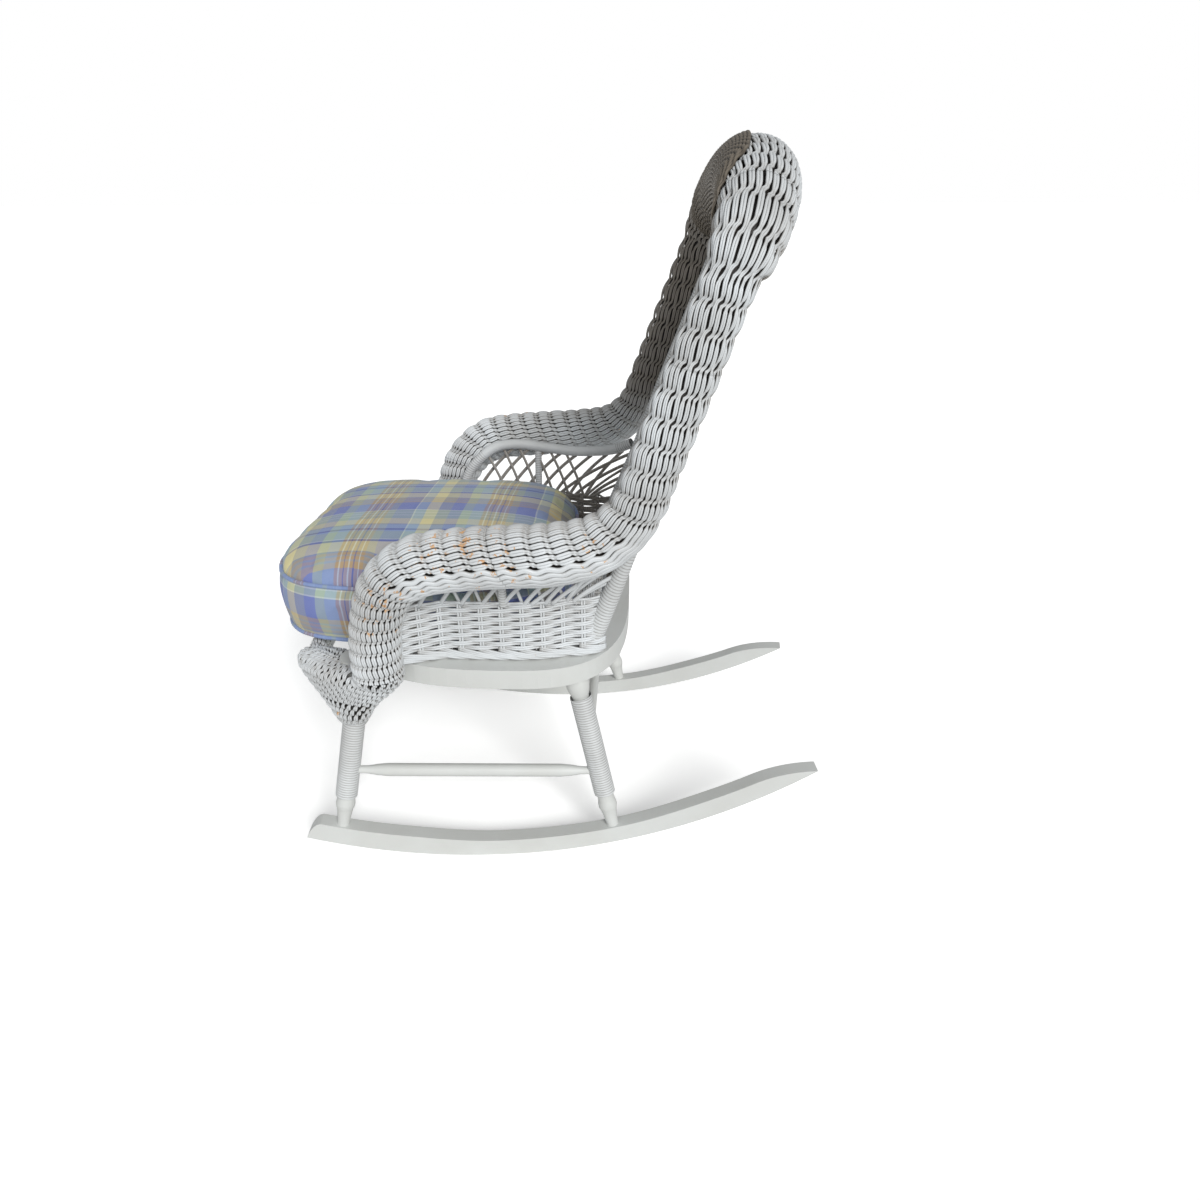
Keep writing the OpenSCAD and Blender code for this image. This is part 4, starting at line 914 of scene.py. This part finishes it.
# Rows run down towards the front, turning by this much for the sleeve's whole height
SWIRL = 0.75
SLEEVE_ROW_GAP = 7.2
SLEEVE_RIB_GAP = 13.5
ODD_START = 0.42
SLEEVE_STEPS = 60
SHOULDER_STEPS = 13
# How far inside the sleeve's outline its rods run, and the share of the shoulder that is its bend
SLEEVE_INSET = 3.0
BEND_SHARE = 0.55
# From this far from the roll's foot on, fully so this much further, the rows close over
CLOSING_R, CLOSING_RUN = 43, 16


def sleeve_ring(t, turns, inset):
    """Places round a front sleeve at a share of its height."""
    share = ease(t * 0.9 + 0.08)
    middle = mix(sleeve_low, sleeve_mid, share) - sleeve_dir * (SLEEVE_BELLY * math.sin(math.pi * t))
    along = np.maximum(mix(SLEEVE_LOW_R, SLEEVE_HALF_LEN, share) - inset, 0.5) * np.cos(turns)
    aside = np.maximum(mix(SLEEVE_LOW_R, SLEEVE_HALF_W, share) - inset, 0.5) * np.sin(turns)
    xy = middle + along[:, None] * sleeve_dir + aside[:, None] * sleeve_across
    return np.column_stack([xy, np.full(len(turns), mix(SLEEVE_LOW_H, SEAT_H, t))])


def sleeve_rows(turns, start):
    """Rows up the sleeve, closed over its shoulder or drawn in under the roll's foot."""
    low = np.linspace(start, SHOULDER, int(SLEEVE_STEPS * (SHOULDER - start)))
    out = [sleeve_ring(t, turns - SWIRL * (SHOULDER - t),
                       SLEEVE_INSET + 2.5 * (1 - ease((t - start) / 0.05))) for t in low]
    roll_foot = np.array([ARM_DROP_X, -arm_front_run])
    edge = sleeve_ring(SHOULDER, turns, 0)[:, :2] - roll_foot
    open_share = ease((np.linalg.norm(edge, axis=1) - CLOSING_R) / CLOSING_RUN)[:, None]
    for share in np.linspace(0, 1, SHOULDER_STEPS)[1:]:
        bend = math.pi / 2 * min(share / BEND_SHARE, 1)
        inset = SLEEVE_INSET + 19 * (1 - math.cos(bend)) + 19 * max(share - BEND_SHARE, 0) / (1 - BEND_SHARE)
        closing = sleeve_ring(mix(SHOULDER, 0.97, math.sin(bend)), turns, inset)
        rising = sleeve_ring(mix(SHOULDER, 1.0, share), turns, SLEEVE_INSET)
        away = rising[:, :2] - roll_foot
        rising[:, :2] = mix(rising[:, :2], roll_foot + unit(away) * (ARM_DROP_R - 3.2), ease(share))
        out.append(mix(rising, closing, open_share))
    return np.array(out).transpose(1, 0, 2), np.append(low, np.linspace(SHOULDER, 1, SHOULDER_STEPS)[1:])


sample_turns = np.radians(np.linspace(40, -275, 400))
ring_run = runs_along(sleeve_ring(SHOULDER, sample_turns, SLEEVE_INSET))
row_turns = np.interp(np.arange(0, ring_run[-1], SLEEVE_ROW_GAP), ring_run, sample_turns)
for where, side in SIDES:
    bundle = Bundle(side)
    # Every second row reaches down to the leg; the others start higher, between two of them
    for first, start in ((0, 0.0), (1, ODD_START)):
        grid, heights = sleeve_rows(row_turns[first::2], start)
        normal, side_way, pitch = surface_frame(grid)
        normal = turned_out(normal, grid - [*sleeve_low, 300])
        half = 0.5 if first else mix(1, 0.5, ease((heights - ODD_START + 0.1) / 0.1))
        run = np.array([runs_along(row) for row in grid]) + start * (SEAT_H - SLEEVE_LOW_H) * 1.15
        brick_rows(bundle, grid, normal, side_way, np.minimum(pitch * half, 7.6), run / SLEEVE_RIB_GAP, 1.4,
                   slant=1.2, slits=0.9, gaps=0.8)
    bundle.make(f"sleeve_weave_{where}", woven_paint, f"sleeve_{where}")
    skin = np.array([sleeve_ring(t, -around(30), 8.5) for t in np.linspace(0.02, 0.86, 12)])
    shade_inside(f"sleeve_inside_{where}", skin * [side, 1, 1])


# Seat deck: a level weave inside the hoop, under the cushion
HOOP_RAIL_W = 46.0
SEAT_FRONT_LEN = 272.0
DECK_T = 8.0
DECK_PITCH = 7.0
DECK_LIFT = 1.3
DECK_SAMPLES = 100
DECK_STAKE_R = 1.6
deck_front_len = SEAT_FRONT_LEN - HOOP_RAIL_W - GAP
deck_rear_len = SEAT_REAR_LEN - HOOP_RAIL_W - GAP


def deck_half_w(y):
    return seat_half_w(y, SEAT_HALF_W - HOOP_RAIL_W - GAP, deck_front_len, deck_rear_len)


deck_z = SEAT_H - DECK_T / 2 - 0.2
deck_ys = np.arange(SEAT_MID_Y - deck_front_len + 4, SEAT_MID_Y + deck_rear_len - 3, DECK_PITCH)
deck = Bundle()
grid = np.array([[(x, y, deck_z) for x in np.linspace(-1, 1, DECK_SAMPLES) * (deck_half_w(y) - 0.5)]
                 for y in deck_ys])
up = np.cos(math.pi * (grid[..., 0] / STAKE_GAP + np.arange(len(grid))[:, None]))
paired_rows(deck, grid, UPWARDS, np.array([0, 1, 0]), DECK_PITCH, up * DECK_LIFT, 0.7 + 0.3 * up)
for x in np.arange(-7, 8) * STAKE_GAP:
    inside = [y for y in np.arange(SEAT_MID_Y - deck_front_len, SEAT_MID_Y + deck_rear_len, 4.0)
              if deck_half_w(y) > abs(x) + 2]
    deck.rod(np.array([(x, y, deck_z) for y in inside]), UPWARDS, DECK_STAKE_R, 0.6)
deck.make("seat_deck_weave", woven_paint, "seat_deck")

# Legs bound in cane, from above the turned foot to the sleeve or the turned bulb
LEG_BOUND_R = 16.8
for where, side in SIDES:
    for name, leg, low, high in (("front", FRONT_LEG, 116, 262), ("rear", REAR_LEG, 104, 274)):
        foot, top = np.array(leg)
        share = (np.linspace(low, high, 12)[:, None] - foot[2]) / (top[2] - foot[2])
        bound_piece(f"{name}_leg_binding_{where}", f"{name}_winding_{where}", mix(foot, top, share),
                    LEG_BOUND_R, side, ridge=1.3, sides=28)

# ---- solids that keep their shape and take a finish ----
# Rounding of the wood's edges, in metres
EDGE_R = 0.0018
in_pairs = [f"{part}_{where}" for part in ("rocker", "front_leg", "rear_leg", "side_stretcher")
            for where, _ in SIDES]
for node in in_pairs + ["front_stretcher", "rear_stretcher", "seat_hoop", "back_spindles"]:
    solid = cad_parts[node]
    solid.data.materials.clear()
    solid.data.materials.append(wood_paint)
    if node.startswith(("rocker", "seat_hoop")):
        # Edges rounded by sanding and many coats of paint
        rounded = solid.modifiers.new("rounded_edges", "BEVEL")
        rounded.width = EDGE_R
        rounded.segments = 3
        rounded.angle_limit = math.radians(40)

# ---- cushion ----
CUSHION_HALF_W = 232.0
CUSHION_FRONT = 357.0
CUSHION_BACK = 128.0
CUSHION_EDGE_H = 106.0
CUSHION_CROWN = 42.0
CUSHION_DRAW = 5.0
CUSHION_SWELL = 7.0
CUSHION_POWER = 3.4
# How far the stuffing may push the cloth out and the size of the cloth's cells, in metres
CUSHION_GIVE = 0.010
VOXEL = 0.006
CLOTH_STEPS = 20
# How far from a seam the cloth is drawn in, and how deep, in metres
SEAM_REACH = 0.008
SEAM_DEPTH = 0.002
cushion_mid = (CUSHION_BACK - CUSHION_FRONT) / 2
cushion_half_len = (CUSHION_BACK + CUSHION_FRONT) / 2


def cushion_edge(turns, reach, swell, z):
    """A ring of the cushion's outline at one height, drawn in between the corners."""
    drawn = CUSHION_DRAW * np.sin(2 * turns + math.pi / 2) ** 2 + CUSHION_SWELL - swell
    c, n = np.cos(turns), np.sin(turns)
    power = 2 / CUSHION_POWER
    x = (CUSHION_HALF_W - drawn) * reach * np.sign(c) * np.abs(c) ** power
    y = cushion_mid + (cushion_half_len - drawn) * reach * np.sign(n) * np.abs(n) ** power
    return np.stack([x, y, np.full_like(x, z)], axis=-1)


cushion_turns = around(96)
cushion_low = CUSHION_LOW_H + 2
cushion_top = CUSHION_LOW_H + CUSHION_EDGE_H - 4
rings = [cushion_edge(cushion_turns, reach, 0, cushion_low) for reach in (0.02, 0.3, 0.6, 0.85, 0.95)]
rings += [cushion_edge(cushion_turns, 1, CUSHION_SWELL * math.sin(math.pi * t),
                       mix(cushion_low, cushion_top, t)) for t in np.linspace(0, 1, 8)]
rings += [cushion_edge(cushion_turns, reach, 0,
                       cushion_top + (CUSHION_CROWN - 2) * (1 - reach * reach) ** 0.45)
          for reach in (0.96, 0.85, 0.66, 0.4, 0.12, 0.01)]
shell = Bundle()
shell.skin(np.array(rings))
count = len(cushion_turns)
top_first = (len(rings) - 1) * count
for first, way in ((0, -1), (top_first, 1)):
    fans = np.array([[0, k, k + 1, k + 2] for k in range(1, count - 2, 2)])
    shell.quads.append((fans + first)[:, ::way])
cushion = shell.make("plaid_cushion", woven_paint, "cushion", slot="plaid_cotton", body="cushion")


def settled(piece):
    """The piece's mesh with its modifiers worked in."""
    mesh = bpy.data.meshes.new_from_object(piece.evaluated_get(bpy.context.evaluated_depsgraph_get()))
    piece.modifiers.clear()
    piece.data = mesh


def fetched(items, key, width=3, kind=float):
    """One value of every item of a mesh, as an array."""
    out = np.empty(len(items) * width, kind)
    items.foreach_get(key, out)
    return out.reshape(-1, width) if width > 1 else out


evened = cushion.modifiers.new("evened", "REMESH")
evened.mode = "VOXEL"
evened.voxel_size = VOXEL
settled(cushion)
stuffed = cushion.modifiers.new("stuffed", "CLOTH")
for key, value in {"quality": 6, "mass": 0.3, "tension_stiffness": 12, "compression_stiffness": 12,
                   "shear_stiffness": 6, "bending_stiffness": 0.6, "use_pressure": True,
                   "uniform_pressure_force": 4}.items():
    setattr(stuffed.settings, key, value)
stuffed.settings.effector_weights.gravity = 0
stuffed.point_cache.frame_start = 1
stuffed.point_cache.frame_end = CLOTH_STEPS
before = fetched(cushion.data.vertices, "co")
for step in range(1, CLOTH_STEPS + 1):
    scene.frame_set(step)
settled(cushion)
moved = fetched(cushion.data.vertices, "co") - before
reach = np.linalg.norm(moved, axis=1, keepdims=True)
after = before + moved * np.minimum(1, CUSHION_GIVE / np.maximum(reach, 1e-9))
# The base stays flat where it rests on the woven deck
after[:, 2] = np.maximum(after[:, 2], CUSHION_LOW_H * MM)
cushion.data.vertices.foreach_set("co", after.ravel())
scene.frame_set(1)
rounded = cushion.modifiers.new("rounded", "SUBSURF")
rounded.levels = 1
settled(cushion)

# The seams lie where a line at 45 degrees meets the edge of the top or the base
edge_turns = around(240)
tree = BVHTree.FromPolygons([v.co.copy() for v in cushion.data.vertices],
                            [tuple(f.vertices) for f in cushion.data.polygons])
seams = {}
for name, way, z in (("top", 1, cushion_top), ("base", -1, cushion_low)):
    ring = cushion_edge(edge_turns, 1, 0, z) - [0, MID_Y, 0]
    outward = unit(np.cross(np.roll(ring, -1, axis=0) - np.roll(ring, 1, axis=0), [0, 0, 1]))
    line = []
    for point, out in zip(ring * MM, outward):
        slope = Vector((out[0], out[1], way)).normalized()
        hit = tree.ray_cast(Vector(point) + slope * 0.06, -slope)[0]
        line.append(tuple(hit if hit else point))
    line = np.array(line)
    for _ in range(3):
        line = (np.roll(line, 1, axis=0) + line * 2 + np.roll(line, -1, axis=0)) / 4
    seams[name] = (line, outward)

def turn_of(points):
    """The direction of each point from the cushion's middle."""
    return np.arctan2(points[:, 1] - (cushion_mid - MID_Y) * MM, points[:, 0])


top_seam = seams["top"][0]
seam_run = runs_along(top_seam)
whole_run = seam_run[-1] + np.linalg.norm(top_seam[0] - top_seam[-1])
seam_turn = np.unwrap(turn_of(top_seam))
mesh = cushion.data
places = fetched(mesh.vertices, "co")


def nearest_seam(points):
    """Index of the seam point that lies in the same direction from the cushion's middle."""
    turn = (turn_of(points) - seam_turn[0]) % (2 * math.pi) + seam_turn[0]
    count = len(seam_turn)
    return np.interp(turn, np.append(seam_turn, seam_turn[0] + 2 * math.pi),
                     np.arange(count + 1)).astype(int) % count


# A slight valley along each seam, where the piping is sewn in
pulled = places.copy()
at = nearest_seam(places)
normals = fetched(mesh.vertices, "normal")
for line, _ in seams.values():
    near = np.exp(-(np.linalg.norm(places - line[at], axis=1) / SEAM_REACH) ** 2)[:, None]
    pulled -= normals * near * SEAM_DEPTH
mesh.vertices.foreach_set("co", pulled.ravel())

# Plaid coordinates in metres: across and along on the panels, round and up on the border
centres = fetched(mesh.polygons, "center")
sizes = fetched(mesh.polygons, "loop_total", 1, np.int32)
at = nearest_seam(centres)
flat = np.zeros(len(centres), bool)
for name, way in (("top", 1), ("base", -1)):
    line, out = seams[name]
    away = centres - line[at]
    flat |= (way * away[:, 2] - (away * out[at]).sum(axis=1)) > 0
flat = np.repeat(flat, sizes)
corner = pulled[fetched(mesh.loops, "vertex_index", 1, np.int32)]
face_turn = np.repeat(turn_of(centres), sizes)
turn = face_turn + (turn_of(corner) - face_turn + math.pi) % (2 * math.pi) - math.pi
turn = np.clip((turn - seam_turn[0]), -1, 2 * math.pi + 1) + seam_turn[0]
long_turn = np.concatenate([seam_turn + k * 2 * math.pi for k in (-1, 0, 1)])
long_run = np.concatenate([seam_run + k * whole_run for k in (-1, 0, 1)])
border = np.stack([corner[:, 2], np.interp(turn, long_turn, long_run), np.ones(len(corner))], axis=1)
panel = np.stack([corner[:, 0], corner[:, 1], np.zeros(len(corner))], axis=1)
plaid = mesh.attributes.new("plaid", "FLOAT_VECTOR", "CORNER")
plaid.data.foreach_set("vector", np.where(flat[:, None], panel, border).ravel())

# Stripes of the plaid in millimetres, across the chair and from front to back
INDIGO, BLUE, GREY_BLUE, SAGE = "#4C5896", "#6C7ABB", "#93ABC6", "#A3B7A6"
CREAM, TAN, WHITE, GREY = "#DBD19A", "#AD9473", "#CCD4CF", "#8F96A0"
WEFT = ((BLUE, 34), (WHITE, 2), (SAGE, 9), (WHITE, 2), (SAGE, 9), (WHITE, 2), (SAGE, 12), (CREAM, 20),
        (GREY, 3), (GREY_BLUE, 14), (INDIGO, 5), (GREY_BLUE, 5), (SAGE, 24), (WHITE, 2), (INDIGO, 6),
        (CREAM, 24), *((GREY, 3), (TAN, 5)) * 2, (GREY, 3), (TAN, 8))
WARP = ((CREAM, 18), (GREY, 20), (BLUE, 19), (SAGE, 16), (GREY_BLUE, 18),
        *((TAN, 5), (WHITE, 2), (TAN, 5), (INDIGO, 2)) * 2, (TAN, 5), (WHITE, 2), (TAN, 5), (GREY, 12),
        (BLUE, 30), (WHITE, 2), (GREY_BLUE, 16))


def stripes(tree, coordinate, order):
    """The colour of one thread direction of the plaid, repeated along a coordinate in metres."""
    period = sum(width for _, width in order)
    share = maths(tree, "FRACT", maths(tree, "MULTIPLY", coordinate, 1000 / period))
    ramp = add_node(tree, "ShaderNodeValToRGB", {0: share})
    ramp.color_ramp.interpolation = "CONSTANT"
    ramp.color_ramp.elements[0].color = colour(order[0][0])
    ramp.color_ramp.elements.remove(ramp.color_ramp.elements[1])
    run = order[0][1]
    for code, width in order[1:]:
        ramp.color_ramp.elements.new(run / period).color = colour(code)
        run += width
    return ramp.outputs[0]


THREAD_GAP = 0.0012


def plaid_cotton(name):
    """Washed cotton in a plain weave: matt, with warp and weft colours mixed thread by thread."""
    material, tree = new_material(name)
    place = attribute(tree, "plaid", "Vector")
    # The cloth is sewn a little askew and its stripes wander by a millimetre or two
    shift = maths(tree, "MULTIPLY", noise(tree, place, 9.0, 1.0), 0.008)
    parts = add_node(tree, "ShaderNodeSeparateXYZ", {0: place})
    runs = [maths(tree, "ADD", parts.outputs[k], shift) for k in (0, 1)]
    # Threads are drawn at twice their real spacing, so that they show
    weave = maths(tree, "MULTIPLY", *(
        maths(tree, "SINE", maths(tree, "MULTIPLY", run, 2 * math.pi / THREAD_GAP)) for run in runs))
    cloth = blend(tree, remap(tree, weave, -1.0, 1.0, 0.36, 0.64), stripes(tree, runs[0], WEFT),
                  stripes(tree, runs[1], WARP))
    fade = remap(tree, noise(tree, place, 25.0, 4.0), 0.3, 0.7, 0.0, 0.08)
    # Slow puckers in the cloth, about 30 mm apart
    pucker = bump(tree, noise(tree, place, 30.0, 2.0), 0.4, 0.004, Normal=bump(tree, weave, 0.35, 0.0003))
    finish_material(tree, Base_Color=blend(tree, fade, cloth, colour("#C9C8BE")), Roughness=0.85,
                    Sheen_Weight=0.15, Sheen_Roughness=0.5, Normal=pucker)
    return material


cotton = plaid_cotton("plaid_cotton")
mesh.materials.clear()
mesh.materials.append(cotton)
PIPING_R = 3.2
# Where the piping is cut from the cloth, in metres
CUT_ACROSS, CUT_ALONG = 0.017, 0.082
for name, (line, out) in seams.items():
    path = np.concatenate([line, line[:1]]) / MM + [0, MID_Y, 0]
    bundle = Bundle()
    bundle.rod(path, np.concatenate([out, out[:1]]), PIPING_R)
    piping = bundle.make(f"cushion_piping_{name}", cotton, slot="plaid_cotton", body="cushion")
    # The piping is cut from the blue stripes, with a pale thread group now and then
    run = np.repeat(np.append(seam_run, whole_run), ROD_SIDES)
    cut = np.stack([np.full(len(run), CUT_ACROSS), CUT_ALONG + 0.016 * np.sin(run * 70) ** 5,
                    np.zeros(len(run))], axis=1)
    piping.data.attributes.new("plaid", "FLOAT_VECTOR", "POINT").data.foreach_set("vector", cut.ravel())

# ---- camera, floor and light ----
CAMERA_PLACE = (1.3303, 0.1380, 0.9741)
CAMERA_YAW = -0.0443
CAMERA_PITCH = 0.4495
CAMERA_ROLL = -0.0046
LENS = 26.13

ahead = Vector((-math.cos(CAMERA_YAW) * math.cos(CAMERA_PITCH), math.sin(CAMERA_YAW) * math.cos(CAMERA_PITCH),
                -math.sin(CAMERA_PITCH)))
right = ahead.cross(Vector((0, 0, 1))).normalized()
above = right.cross(ahead)
roll_cos, roll_sin = math.cos(CAMERA_ROLL), math.sin(CAMERA_ROLL)
right, above = right * roll_cos + above * roll_sin, above * roll_cos - right * roll_sin
camera_data = bpy.data.cameras.new("photograph_view")
camera_data.lens = LENS
camera_data.sensor_width = 36
camera = placed("photograph_view", camera_data)
camera.matrix_world = Matrix((*((right[k], above[k], -ahead[k], CAMERA_PLACE[k]) for k in range(3)),
                              (0, 0, 0, 1)))
scene.camera = camera


def seen_as(tree, seen, otherwise):
    """One shader for what the camera sees directly and another for all other light."""
    ray = add_node(tree, "ShaderNodeLightPath").outputs["Is Camera Ray"]
    return add_node(tree, "ShaderNodeMixShader", {0: ray, 1: otherwise, 2: seen}).outputs[0]


def shader(tree, kind, tint, strength):
    return add_node(tree, kind, {"Color": (*tint, 1), "Strength": strength}).outputs[0]


FLOOR_HALF = 40.0
floor_mesh = bpy.data.meshes.new("floor")
floor_mesh.from_pydata([(x * FLOOR_HALF, y * FLOOR_HALF, 0) for x, y in ((-1, -1), (1, -1), (1, 1), (-1, 1))],
                       [], [(0, 1, 2, 3)])
floor = placed("floor", floor_mesh)
# The floor is seen nearly as white as the background, and still takes the chair's soft shadow
material, tree = new_material("matt_white_floor")
matt = add_node(tree, "ShaderNodeBsdfDiffuse", {"Color": colour("#F7F7F6"), "Roughness": 0.6}).outputs[0]
lifted = seen_as(tree, shader(tree, "ShaderNodeEmission", (1, 1, 1), 0.3),
                 shader(tree, "ShaderNodeEmission", (0, 0, 0), 0.0))
both = add_node(tree, "ShaderNodeAddShader", {0: matt, 1: lifted}).outputs[0]
add_node(tree, "ShaderNodeOutputMaterial", {"Surface": both})
floor_mesh.materials.append(material)

world = bpy.data.worlds.new("studio")
scene.world = world
world.use_nodes = True
tree = world.node_tree
tree.nodes.clear()
background = seen_as(tree, shader(tree, "ShaderNodeBackground", (1, 1, 1), 1.0),
                     shader(tree, "ShaderNodeBackground", (0.95, 0.97, 1), 0.36))
add_node(tree, "ShaderNodeOutputWorld", {"Surface": background})


def sun(name, towards, strength, spread_degrees):
    lamp = bpy.data.lights.new(name, "SUN")
    lamp.energy = strength
    lamp.angle = math.radians(spread_degrees)
    placed(name, lamp).rotation_euler = Vector(towards).to_track_quat("-Z", "Y").to_euler()


sun("key_light", (-0.78, -0.36, -0.5), 2.3, 22)
sun("side_light", (-0.8, 0.35, -0.3), 0.3, 60)

bpy.context.scene.view_settings.view_transform = "Standard"
